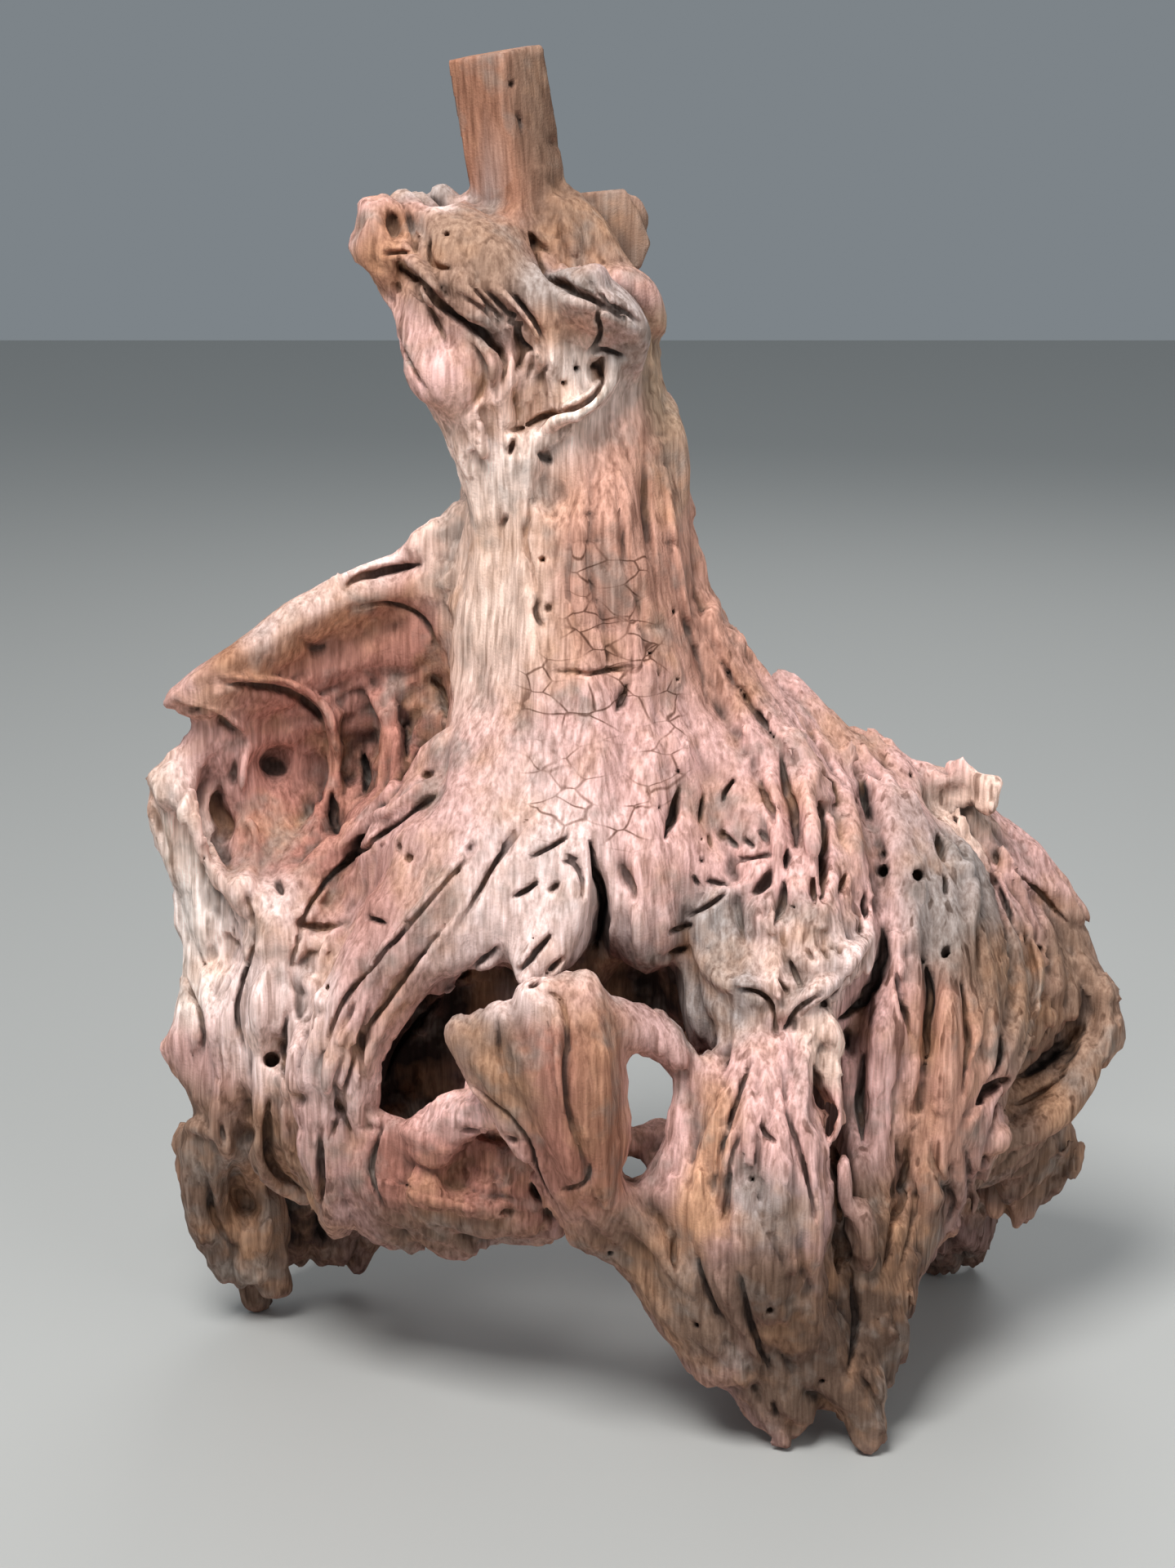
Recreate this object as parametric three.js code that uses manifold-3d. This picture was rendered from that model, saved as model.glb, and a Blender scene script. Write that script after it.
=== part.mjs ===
// A dry root: the weathered crown of a small tree, dug out whole and standing on three of its root stumps.
// Millimetres, +Z up, the front towards -Y. The origin is on the surface it stands on, under its middle.
// The wood is one solid. It is grown strand by strand in a distance field, meshed, thinned to few triangles,
// joined to the whittled peg on its top, and trimmed flat under its feet.

import * as THREE from "three";
import { triTable } from "three/addons/objects/MarchingCubes.js";
import { mergeVertices } from "three/addons/utils/BufferGeometryUtils.js";
import Module from "manifold-3d";

// Driving dimensions
const WIDTH = 460; // of the space the wood is grown in
const DEPTH = 290;
const HEIGHT = 560;
const CELL = 4; // grid step of the distance field
const MARGIN = 3 * CELL; // empty grid round the wood
const TRIANGLES = 11300; // of the grown wood, before the peg is joined
const FAR = 1e3;

// The front view that the root was read in. A place is its pixel right and down in that view, and its depth
// in millimetres behind the root's middle plane. The last number of a strand's row is its radius.
const VIEW = {
  focal: 3712,
  centre: [719.5, 960],
  pitch: THREE.MathUtils.degToRad(15),
  distance: 1350,
  aim: new THREE.Vector3(-21, 0, 272),
};
const FORWARD = new THREE.Vector3(0, Math.cos(VIEW.pitch), -Math.sin(VIEW.pitch));
const UPWARD = new THREE.Vector3(0, Math.sin(VIEW.pitch), Math.cos(VIEW.pitch));
const EYE = VIEW.aim.clone().addScaledVector(FORWARD, -VIEW.distance);

function seen([u, v, depth]) {
  const ray = FORWARD.clone()
    .addScaledVector(UPWARD, (VIEW.centre[1] - v) / VIEW.focal)
    .add(new THREE.Vector3((u - VIEW.centre[0]) / VIEW.focal, 0, 0));
  return EYE.clone().addScaledVector(ray, (depth - EYE.y) / ray.y);
}

// Shapes: each gives its box and its distance at a point

// A strand of wood along a smooth curve, round, with a radius at each of its points.
function strand(rows, stepsPerSpan = 4) {
  const curve = new THREE.CatmullRomCurve3(rows.map(seen), false, "centripetal");
  const spans = rows.length - 1;
  const steps = spans * stepsPerSpan;
  const points = [];
  const radii = [];
  for (let i = 0; i <= steps; i++) {
    const t = i / steps;
    const span = Math.min(Math.floor(t * spans), spans - 1);
    points.push(curve.getPoint(t));
    radii.push(THREE.MathUtils.lerp(rows[span][3], rows[span + 1][3], t * spans - span));
  }
  const box = new THREE.Box3().setFromPoints(points).expandByScalar(Math.max(...radii));
  const distance = (x, y, z) => {
    let best = FAR;
    for (let i = 0; i < steps; i++) {
      const a = points[i];
      const b = points[i + 1];
      const ex = b.x - a.x;
      const ey = b.y - a.y;
      const ez = b.z - a.z;
      const px = x - a.x;
      const py = y - a.y;
      const pz = z - a.z;
      const along = (px * ex + py * ey + pz * ez) / (ex * ex + ey * ey + ez * ez);
      const t = Math.min(Math.max(along, 0), 1);
      const away = Math.hypot(px - t * ex, py - t * ey, pz - t * ez);
      best = Math.min(best, away - radii[i] - t * (radii[i + 1] - radii[i]));
    }
    return best;
  };
  return { box, distance };
}

// A rounded lump: an ellipsoid with its three radii.
function lump(place, radii) {
  const centre = seen(place);
  const [rx, ry, rz] = radii;
  const half = new THREE.Vector3(rx, ry, rz);
  const box = new THREE.Box3(centre.clone().sub(half), centre.clone().add(half));
  const distance = (x, y, z) => {
    const a = (x - centre.x) / rx;
    const b = (y - centre.y) / ry;
    const c = (z - centre.z) / rz;
    const k0 = Math.hypot(a, b, c);
    const k1 = Math.hypot(a / rx, b / ry, c / rz);
    return k1 > 0 ? (k0 * (k0 - 1)) / k1 : -Math.min(rx, ry, rz);
  };
  return { box, distance };
}

// A block with rounded edges and its three half lengths, leaning to the right.
function block(place, halves, round, leanDegrees = 0) {
  const centre = seen(place);
  const cos = Math.cos(THREE.MathUtils.degToRad(leanDegrees));
  const sin = Math.sin(THREE.MathUtils.degToRad(leanDegrees));
  const reach = Math.hypot(...halves);
  const half = new THREE.Vector3(reach, reach, reach);
  const box = new THREE.Box3(centre.clone().sub(half), centre.clone().add(half));
  const distance = (x, y, z) => {
    const dx = x - centre.x;
    const dz = z - centre.z;
    const a = Math.abs(cos * dx - sin * dz) - halves[0] + round;
    const b = Math.abs(y - centre.y) - halves[1] + round;
    const c = Math.abs(sin * dx + cos * dz) - halves[2] + round;
    const outside = Math.hypot(Math.max(a, 0), Math.max(b, 0), Math.max(c, 0));
    return outside + Math.min(Math.max(a, b, c), 0) - round;
  };
  return { box, distance };
}

// The distance field: wood is negative

const LOW = new THREE.Vector3(-WIDTH / 2, -DEPTH / 2, 0).subScalar(MARGIN);
const [NX, NY, NZ] = [WIDTH, DEPTH, HEIGHT].map((length) => Math.ceil((length + 2 * MARGIN) / CELL) + 1);
const field = new Float32Array(NX * NY * NZ).fill(FAR);

function smoothMin(a, b, blend) {
  const h = Math.max(blend - Math.abs(a - b), 0) / blend;
  return Math.min(a, b) - (h * h * blend) / 4;
}

// Changes the field near a shape, by a rule on the old distance and the shape's own.
function sculpt(shape, reach, rule) {
  const first = shape.box.min.clone().subScalar(reach).sub(LOW).divideScalar(CELL).floor();
  const last = shape.box.max.clone().addScalar(reach).sub(LOW).divideScalar(CELL).ceil();
  for (let k = Math.max(first.z, 0); k <= Math.min(last.z, NZ - 1); k++) {
    for (let j = Math.max(first.y, 0); j <= Math.min(last.y, NY - 1); j++) {
      for (let i = Math.max(first.x, 0); i <= Math.min(last.x, NX - 1); i++) {
        const at = i + NX * (j + NY * k);
        field[at] = rule(field[at], shape.distance(LOW.x + i * CELL, LOW.y + j * CELL, LOW.z + k * CELL));
      }
    }
  }
}

function grow(shape, blend) {
  sculpt(shape, blend + 2 * CELL, (wood, d) => smoothMin(wood, d, blend));
}

function carve(shape, blend) {
  sculpt(shape, blend + 2 * CELL, (wood, d) => -smoothMin(-wood, d, blend));
}

// Distance at a point between the grid's points.
function fieldAt(point) {
  const p = point.clone().sub(LOW).divideScalar(CELL);
  const [i, j, k] = p.toArray().map(Math.floor);
  const [a, b, c] = [p.x - i, p.y - j, p.z - k];
  if (i < 0 || j < 0 || k < 0 || i > NX - 2 || j > NY - 2 || k > NZ - 2) return FAR;
  let sum = 0;
  for (let n = 0; n < 8; n++) {
    const [di, dj, dk] = [n & 1, (n >> 1) & 1, n >> 2];
    const weight = (di ? a : 1 - a) * (dj ? b : 1 - b) * (dk ? c : 1 - c);
    sum += weight * field[i + di + NX * (j + dj + NY * (k + dk))];
  }
  return sum;
}

// Lays a stroke on the wood's front or back: each row is a pixel and a radius, sunk by a share of the radius.
function onSide(inward, rows, sunk) {
  return rows.map(([u, v, radius]) => {
    let depth = (-inward * DEPTH) / 2;
    while (depth * inward < DEPTH / 2 && fieldAt(seen([u, v, depth])) > 0) depth += (inward * CELL) / 4;
    return [u, v, depth + inward * sunk * radius, radius];
  });
}

const onFront = (rows, sunk) => onSide(1, rows, sunk);
const onBack = (rows, sunk) => onSide(-1, rows, sunk);

// The root's anatomy

const TRUNK = [
  [640, 330, 22, 40],
  [655, 400, 20, 46],
  [675, 460, 18, 48],
  [697, 540, 15, 46],
  [706, 620, 14, 50],
  [706, 720, 12, 55],
  [716, 820, 8, 59],
  [715, 920, 4, 62],
  [712, 1010, 2, 66],
];
const CORE = [[720, 1000, 15, 64], [740, 1110, 15, 70], [760, 1190, 25, 62]];
const BACK = [
  [[720, 800, 45, 44], [800, 950, 58, 54], [860, 1100, 70, 56], [900, 1230, 76, 52], [1000, 1370, 76, 42]],
  [[640, 850, 48, 42], [570, 1000, 60, 52], [500, 1130, 66, 52], [450, 1270, 66, 48]],
  [[700, 900, 52, 46], [680, 1050, 70, 56], [640, 1180, 78, 50], [600, 1260, 82, 40]],
];
const BUTTRESS = [
  // ridges down the unseen back
  [[690, 560, 52, 14], [660, 760, 66, 22], [600, 960, 100, 26], [540, 1120, 112, 24], [500, 1270, 104, 20]],
  [[740, 600, 50, 16], [790, 800, 72, 24], [850, 1000, 112, 28], [900, 1160, 116, 26], [960, 1310, 104, 22]],
  [[715, 640, 58, 12], [710, 860, 92, 20], [700, 1040, 116, 24], [690, 1160, 116, 20], [655, 1260, 110, 14]],
];
const CAPE = [
  // the front of the trunk spreads into a cape over the hollow
  [
    [620, 930, -28, 24], [560, 1060, -44, 27], [485, 1190, -48, 25], [430, 1300, -44, 23],
    [405, 1400, -38, 18],
  ],
  [[680, 940, -28, 32], [645, 1050, -48, 29], [600, 1120, -62, 20], [572, 1168, -68, 11]],
  [[735, 945, -30, 34], [715, 1060, -54, 27], [682, 1135, -72, 15], [648, 1192, -84, 8]],
  [[790, 950, -26, 34], [800, 1060, -46, 28], [790, 1130, -60, 18], [778, 1172, -66, 8]],
];
const SHOULDER = [[842, 760, 10, 12], [892, 850, 14, 19], [970, 925, 26, 27], [1050, 1000, 36, 32]];
const RIGHT_MASS = [
  [[820, 800, 10, 26], [870, 890, 4, 32], [925, 1000, -12, 40], [940, 1120, -36, 42], [930, 1210, -54, 36]],
  [[940, 940, 20, 34], [1025, 1070, 12, 52], [1070, 1200, 4, 60], [1080, 1340, 0, 56], [1055, 1470, -22, 42]],
  [[985, 960, 42, 28], [1095, 1070, 44, 40], [1180, 1180, 44, 46], [1228, 1265, 40, 36]],
];
const EAR = [[1095, 950, 40, 10], [1150, 952, 33, 9], [1192, 968, 27, 8], [1206, 990, 25, 5]];
const EAR_ROOT = [[1080, 1010, 42, 26], [1160, 1010, 46, 20]];
const RIGHT_LOBES = [
  [[1190, 1050, 50, 20], [1250, 1085, 54, 20], [1293, 1125, 52, 16], [1312, 1150, 50, 11]],
  [[1280, 1180, 46, 18], [1330, 1205, 42, 14], [1340, 1245, 38, 13], [1342, 1275, 34, 11]],
  [[1345, 1262, 34, 10], [1315, 1315, 24, 11], [1262, 1370, 14, 14], [1215, 1410, 8, 18]],
  [[1240, 1410, 30, 20], [1292, 1405, 36, 12], [1290, 1435, 36, 12], [1240, 1458, 36, 16]],
];
const BACK_FOOT = [[1110, 1380, 58, 40], [1145, 1460, 70, 28], [1160, 1515, 78, 18], [1160, 1546, 82, 10]];
const FRONT_LEG = [
  [934, 1275, -84, 14],
  [934, 1340, -92, 20],
  [934, 1420, -95, 25],
  [932, 1510, -96, 30],
  [948, 1600, -90, 28],
  [985, 1660, -90, 22],
];
const LOWER_LEG = [
  [1055, 1480, -50, 30], [1068, 1570, -72, 22], [1062, 1640, -84, 18], [1040, 1690, -94, 14],
];
const TOES = [
  [[950, 1650, -92, 18], [955, 1715, -97, 13], [966, 1752, -100, 9]],
  [[1035, 1670, -92, 17], [1050, 1720, -100, 12], [1060, 1760, -104, 9]],
];
const BONE = [[992, 1256, -80, 6], [1008, 1330, -88, 7], [1030, 1430, -96, 8], [1046, 1530, -96, 10]];
const BEAK = [
  [
    [560, 1262, -102, 8], [600, 1310, -106, 11], [650, 1385, -106, 12], [700, 1470, -98, 10],
    [722, 1520, -90, 8],
  ],
  [[605, 1246, -106, 8], [650, 1315, -110, 13], [700, 1420, -104, 14], [726, 1500, -94, 11]],
  [[660, 1222, -108, 8], [690, 1310, -112, 14], [722, 1430, -104, 14], [732, 1510, -94, 10]],
  [[712, 1212, -106, 9], [730, 1310, -106, 13], [742, 1420, -100, 12], [740, 1505, -92, 10]],
];
const RING = [
  [
    [725, 1240, -102, 11], [790, 1262, -94, 9], [842, 1300, -88, 9], [856, 1370, -88, 11],
    [845, 1440, -88, 14],
  ],
  [[745, 1485, -92, 12], [790, 1470, -90, 14], [838, 1450, -88, 15]],
  [[752, 1405, -72, 11], [798, 1412, -62, 13], [842, 1400, -66, 12]],
];
const WEB = [
  [[738, 1505, -90, 11], [785, 1530, -88, 15], [845, 1580, -90, 22], [880, 1645, -92, 19]],
  [[850, 1470, -88, 18], [870, 1560, -88, 22], [895, 1630, -90, 20]],
];
const VAULT = [
  // the low wall of the bowl between the left skirt and the beak
  [
    [400, 1400, -34, 18], [450, 1425, -46, 18], [520, 1445, -52, 20], [600, 1455, -60, 20],
    [690, 1450, -74, 15],
  ],
  [[430, 1460, -36, 17], [500, 1490, -42, 14], [580, 1500, -46, 13], [665, 1485, -58, 11]],
  [[470, 1425, -40, 15], [560, 1418, -50, 17], [665, 1412, -66, 13]],
  [[475, 1392, -58, 11], [530, 1388, -64, 10], [580, 1352, -80, 11], [640, 1365, -92, 11]],
  [[528, 1395, -72, 8], [524, 1440, -74, 7], [538, 1470, -74, 4]],
];
const SKIRT = [
  [
    [420, 1180, -26, 16], [385, 1300, -26, 18], [380, 1390, -28, 15], [402, 1465, -28, 11],
    [420, 1522, -24, 5],
  ],
  [[350, 1215, -16, 20], [345, 1320, -12, 20], [350, 1400, -6, 17], [372, 1450, -4, 10]],
];
const LEFT_LEG = [
  [320, 1230, 4, 26],
  [306, 1340, 8, 19],
  [290, 1430, 18, 17],
  [294, 1510, 27, 14],
  [304, 1565, 34, 9],
  [312, 1594, 37, 9],
];
const LEFT_KNOBS = [
  [[268, 1385, 10, 12], [238, 1405, 8, 9]],
  [[280, 1220, 6, 13], [226, 1258, 3, 8], [208, 1282, 4, 5]],
  [[208, 1282, 4, 5], [255, 1325, 8, 12]],
  [[262, 1225, 6, 11], [258, 1265, 7, 10], [275, 1310, 8, 12]],
];
const LEFT_BACK = [
  [[420, 1380, 58, 38], [385, 1460, 58, 24], [362, 1528, 60, 12]],
  [[480, 1400, 66, 32], [440, 1490, 64, 18], [425, 1528, 64, 11]],
];
const WING = [
  // ribs of the thin shell beside the trunk, the trunk end first
  [[560, 705, 18, 15], [460, 712, 12, 11], [385, 750, 2, 10], [305, 806, -6, 9], [245, 838, -8, 6]],
  [[560, 780, 24, 16], [450, 790, 24, 13], [350, 825, 14, 11], [270, 850, 0, 9], [203, 862, -4, 5]],
  [[560, 860, 28, 16], [440, 875, 34, 13], [340, 885, 26, 12], [262, 895, 8, 9]],
  [[560, 950, 28, 17], [440, 965, 38, 14], [330, 965, 30, 13], [252, 935, 12, 9]],
  [[560, 1040, 26, 18], [440, 1055, 36, 15], [320, 1050, 28, 14], [235, 1030, 12, 9]],
  [[550, 1120, 22, 20], [430, 1140, 28, 18], [330, 1135, 18, 16], [262, 1115, 12, 10]],
  [[520, 1210, 16, 24], [420, 1230, 20, 24], [335, 1220, 10, 20]],
  // and the wall between them, from the top down
  [[510, 720, 26, 12], [505, 850, 38, 15], [500, 1000, 40, 16], [490, 1150, 30, 18]],
  [[430, 745, 20, 11], [420, 860, 36, 14], [410, 1000, 40, 15], [400, 1130, 32, 17]],
  [[350, 785, 10, 9], [345, 880, 28, 12], [335, 1000, 34, 14], [330, 1130, 24, 16]],
  [[285, 850, 4, 7], [275, 930, 18, 10], [265, 1020, 20, 12], [275, 1120, 14, 14]],
];
const WING_EDGE = [
  [
    [242, 906, 4, 6], [206, 942, 0, 6], [190, 985, 3, 7], [220, 1070, 9, 8], [247, 1150, 12, 9],
    [252, 1215, 10, 11],
  ],
  [[210, 960, 4, 7], [218, 1010, 8, 8], [245, 1075, 8, 9]],
  [[204, 944, -4, 6], [240, 995, -10, 8], [278, 1066, -16, 9], [325, 1118, -22, 11], [348, 1215, -20, 16]],
];
const LEDGE = [[565, 640, 14, 10], [515, 662, 10, 7]];
const HOLLOW = [
  [[600, 1320, -2], [82, 58, 74]],
  [[780, 1380, 4], [60, 68, 66]],
];
const MOUTHS = [
  [[612, 1200, -62, 8], [562, 1235, -60, 15], [520, 1290, -58, 18], [500, 1340, -52, 14]],
  [[712, 1196, -66, 8], [760, 1215, -60, 13], [782, 1215, -50, 13]],
  [[803, 1334, -95, 12], [803, 1334, 40, 14], [803, 1336, 150, 18]],
  [[768, 1437, -110, 4], [768, 1430, -60, 7]],
];
const HEAD = [
  [[545, 300, -4, 17], [565, 350, -8, 28], [600, 420, -6, 34]],
  [[535, 290, -4, 14], [488, 278, -6, 10], [466, 306, -8, 8], [480, 328, -6, 7]],
  [[575, 390, -2, 22], [542, 425, 0, 19], [575, 480, 2, 20]],
  [[690, 375, -22, 18], [735, 398, -20, 17], [762, 425, -16, 12]],
  [[668, 235, 12, 9], [688, 265, 10, 15], [714, 308, 8, 16], [745, 352, 6, 14]],
];
const STUMP = [[506, 246, 12, 7], [545, 240, 18, 8]]; // a rough scrap behind the shelf
const ROPE = [
  [752, 350, -2, 8],
  [785, 380, 6, 9],
  [795, 450, 10, 9],
  [803, 540, 10, 9],
  [822, 620, 12, 10],
  [842, 700, 12, 11],
  [872, 770, 14, 12],
];
const SHELF = [[560, 180, 0], [52, 52, 21], 2]; // sawn away over the left of the head
const PLATE = [[741, 290, 28], [16, 10, 21], 9, 20];

// Strokes on the front: ridges stand out, slots are sunk
const RIDGES = [
  [[655, 560, 4], [650, 630, 8], [655, 740, 8], [668, 850, 6], [690, 950, 2]],
  [[705, 550, 4], [702, 630, 8], [706, 740, 8], [720, 850, 6], [735, 950, 2]],
  [[755, 520, 4], [756, 620, 8], [768, 740, 8], [790, 850, 6], [800, 950, 2]],
  [[490, 322, 4], [545, 395, 5], [600, 438, 5], [650, 475, 4]],
  [[545, 330, 4], [595, 395, 5], [650, 440, 5]],
  [[620, 350, 4], [665, 410, 5], [690, 470, 4]],
  [[640, 540, 5], [700, 512, 6], [745, 478, 6], [768, 445, 5]],
  [[905, 890, 7], [925, 960, 8], [945, 1040, 8], [935, 1120, 7]],
  [[965, 920, 7], [985, 1010, 8], [1000, 1090, 8], [985, 1160, 7]],
  [[1020, 920, 7], [1045, 1010, 8], [1058, 1100, 8], [1060, 1160, 7]],
  [[1100, 990, 8], [1112, 1080, 9], [1108, 1170, 9], [1105, 1260, 9], [1100, 1360, 8], [1090, 1440, 7]],
  [[1060, 1210, 6], [1068, 1290, 9], [1066, 1390, 8], [1062, 1460, 6]],
  [[1160, 1050, 8], [1165, 1160, 9], [1165, 1270, 9], [1150, 1370, 9], [1130, 1460, 8]],
  [[1215, 1060, 7], [1240, 1150, 9], [1240, 1240, 9], [1200, 1330, 8], [1180, 1420, 8]],
  [[862, 1120, 5], [878, 1185, 7], [930, 1215, 7], [995, 1205, 7], [1050, 1165, 7], [1068, 1125, 5]],
  [[470, 850, 4], [492, 940, 6], [478, 1020, 6], [415, 1070, 6], [378, 1110, 5]],
  [[545, 985, 4], [500, 1030, 5], [440, 1060, 5]],
  [[330, 842, 4], [380, 855, 5], [404, 915, 5], [402, 970, 4]],
  [[300, 905, 4], [294, 965, 5], [303, 1050, 5]],
  [[530, 1100, 6], [450, 1230, 7], [415, 1330, 6]],
  [[400, 1230, 5], [368, 1330, 6], [375, 1425, 5]],
  [[905, 1290, 4], [880, 1400, 6], [864, 1500, 6], [885, 1590, 4]],
  [[945, 1285, 4], [940, 1400, 6], [950, 1510, 6], [988, 1605, 4]],
  [[982, 1300, 4], [1000, 1400, 5], [1010, 1500, 4]],
  [[600, 1252, 4], [650, 1340, 5], [705, 1455, 4]],
  [[695, 1218, 4], [712, 1330, 5], [736, 1455, 4]],
  [[775, 1485, 4], [830, 1555, 6], [870, 1645, 4]],
];
const BACK_RIDGES = [
  [[655, 520, 5], [630, 700, 9], [570, 900, 10], [505, 1100, 10], [450, 1270, 8]],
  [[690, 560, 5], [680, 760, 9], [640, 960, 10], [600, 1120, 10], [570, 1230, 8]],
  [[735, 560, 5], [750, 760, 9], [780, 960, 10], [810, 1120, 10], [850, 1240, 8]],
  [[775, 560, 5], [810, 760, 9], [880, 950, 10], [950, 1120, 10], [1010, 1290, 8]],
  [[930, 940, 6], [1040, 1060, 9], [1120, 1200, 10], [1140, 1330, 9]],
  [[1010, 960, 5], [1120, 1070, 9], [1200, 1200, 9], [1210, 1300, 8]],
  [[540, 730, 5], [430, 770, 7], [330, 830, 5]],
  [[520, 860, 6], [400, 900, 8], [290, 930, 5]],
  [[500, 1000, 6], [390, 1030, 8], [270, 1050, 5]],
  [[470, 1140, 7], [370, 1160, 8], [290, 1170, 5]],
];
const BACK_SLOTS = [
  [[665, 600, 4], [655, 800, 6], [605, 1000, 6], [555, 1170, 4]],
  [[712, 640, 4], [715, 860, 6], [710, 1060, 6], [695, 1170, 4]],
  [[790, 720, 4], [830, 900, 6], [880, 1080, 6], [930, 1230, 4]],
  [[960, 1000, 4], [1050, 1120, 6], [1090, 1270, 4]],
];
const SLOTS = [
  [[1022, 1300, 4], [1024, 1420, 6], [1036, 1540, 5]],
  [[1080, 1180, 3], [1062, 1240, 5], [1030, 1275, 4]],
  [[1132, 1180, 4], [1130, 1260, 5], [1130, 1345, 4]],
  [[1000, 970, 4], [1010, 1040, 5], [1006, 1095, 4]],
  [[955, 940, 4], [968, 1010, 4]],
  [[1205, 1352, 4], [1260, 1322, 6], [1325, 1258, 6]],
  [[730, 1045, 4], [736, 1110, 5], [732, 1165, 5]],
  [[540, 830, 4], [543, 930, 5], [520, 1000, 4]],
  [[335, 937, 6], [338, 940, 6]],
  [[283, 1000, 6], [284, 1052, 8]],
  [[238, 1200, 3], [248, 1250, 4], [256, 1290, 4]],
  [[345, 1330, 4], [352, 1410, 5], [375, 1455, 4]],
  [[420, 712, 4], [470, 708, 5], [515, 700, 4]],
  [[478, 262, 5], [488, 295, 6]],
  [[330, 1260, 4], [335, 1275, 6]],
];

function growRoot() {
  grow(strand(TRUNK), 8);
  grow(strand(CORE), 16);
  for (const rows of BACK) grow(strand(rows), 16);
  for (const rows of BUTTRESS) grow(strand(rows), 12);
  for (const rows of RIGHT_MASS) grow(strand(rows), 12);
  grow(strand(SHOULDER), 10);
  for (const rows of CAPE) grow(strand(rows), 12);
  for (const rows of WING) grow(strand(rows), 14);
  grow(strand(LEFT_LEG), 10);
  for (const rows of LEFT_BACK) grow(strand(rows), 10);
  grow(strand(BACK_FOOT), 10);
  for (const [place, radii] of HOLLOW) carve(lump(place, radii), 8);
  for (const rows of SKIRT) grow(strand(rows), 8);
  for (const rows of VAULT) grow(strand(rows), 9);
  for (const rows of WING_EDGE) grow(strand(rows), 8);
  for (const rows of LEFT_KNOBS) grow(strand(rows), 8);
  grow(strand(EAR_ROOT), 10);
  grow(strand(EAR), 6);
  for (const rows of RIGHT_LOBES) grow(strand(rows), 7);
  grow(strand(LOWER_LEG), 10);
  grow(strand(FRONT_LEG), 10);
  for (const rows of WEB) grow(strand(rows), 10);
  for (const rows of TOES) grow(strand(rows), 6);
  for (const rows of BEAK) grow(strand(rows), 7);
  for (const rows of RING) grow(strand(rows), 6);
  for (const rows of MOUTHS) carve(strand(rows), 5);
  grow(strand(BONE), 4);
  for (const rows of HEAD) grow(strand(rows), 7);
  grow(block(...PLATE), 5);
  grow(strand(ROPE), 6);
  grow(strand(LEDGE), 6);
  carve(block(...SHELF), 1);
  grow(strand(STUMP), 4);
  for (const rows of RIDGES) grow(strand(onFront(rows, 0.15)), 4);
  for (const rows of SLOTS) carve(strand(onFront(rows, 0.3)), 2);
  for (const rows of BACK_RIDGES) grow(strand(onBack(rows, 0.2)), 5);
  for (const rows of BACK_SLOTS) carve(strand(onBack(rows, 0.2)), 3);
}

// Meshing: marching cubes over the field, with one vertex on each crossed grid edge

const CORNERS = [[0, 0, 0], [1, 0, 0], [1, 1, 0], [0, 1, 0], [0, 0, 1], [1, 0, 1], [1, 1, 1], [0, 1, 1]];
const EDGES = [
  [0, 1], [1, 2], [2, 3], [3, 0], [4, 5], [5, 6], [6, 7], [7, 4], [0, 4], [1, 5], [2, 6], [3, 7],
];
const NEAREST = 0.18; // how close to a grid point, in steps, a vertex may lie

function polygonise() {
  const positions = [];
  const triangles = [];
  const vertexOfEdge = new Map();
  const step = (corner) => corner[0] + NX * (corner[1] + NY * corner[2]);
  const vertexOn = (i, j, k, edge) => {
    const [a, b] = EDGES[edge].map((c) => CORNERS[c]).sort((p, q) => step(p) - step(q));
    const axis = [0, 1, 2].find((n) => a[n] !== b[n]);
    const at = i + NX * (j + NY * k);
    const key = (at + step(a)) * 3 + axis;
    if (!vertexOfEdge.has(key)) {
      const low = field[at + step(a)];
      const high = field[at + step(b)];
      const t = THREE.MathUtils.clamp(low / (low - high), NEAREST, 1 - NEAREST);
      const place = [i + a[0], j + a[1], k + a[2]];
      place[axis] += t;
      vertexOfEdge.set(key, positions.length);
      positions.push(place.map((n, d) => LOW.getComponent(d) + n * CELL));
    }
    return vertexOfEdge.get(key);
  };
  for (let k = 0; k < NZ - 1; k++) {
    for (let j = 0; j < NY - 1; j++) {
      for (let i = 0; i < NX - 1; i++) {
        const at = i + NX * (j + NY * k);
        let inside = 0;
        for (let c = 0; c < 8; c++) if (field[at + step(CORNERS[c])] < 0) inside |= 1 << c;
        for (let n = inside * 16; triTable[n] !== -1; n += 3) {
          triangles.push([0, 2, 1].map((c) => vertexOn(i, j, k, triTable[n + c])));
        }
      }
    }
  }
  return { positions, triangles };
}

// Keeps the largest of the separate shells: crumbs and closed bubbles are dropped.
function largestShell({ positions, triangles }) {
  const leader = positions.map((_, n) => n);
  const find = (n) => {
    while (leader[n] !== n) {
      leader[n] = leader[leader[n]];
      n = leader[n];
    }
    return n;
  };
  for (const [a, b, c] of triangles) {
    leader[find(b)] = find(a);
    leader[find(c)] = find(a);
  }
  const count = new Map();
  for (const [a] of triangles) count.set(find(a), (count.get(find(a)) ?? 0) + 1);
  const largest = [...count].sort((p, q) => q[1] - p[1])[0][0];
  return { positions, triangles: triangles.filter(([a]) => find(a) === largest) };
}

// Thinning: the edges that matter least are drawn together until few triangles are left

const BACK_WEIGHT = 0.35; // how much a triangle that faces back counts, beside one that faces the front
const LONG_EDGE = 2e-3; // what an edge's length adds to its cost, so that no triangle grows far too long
const LEAST_SHAPE = 0.2; // doubled area over longest side squared
const LEAST_TURN = 0.35; // cosine between a triangle's old and new facing

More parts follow.
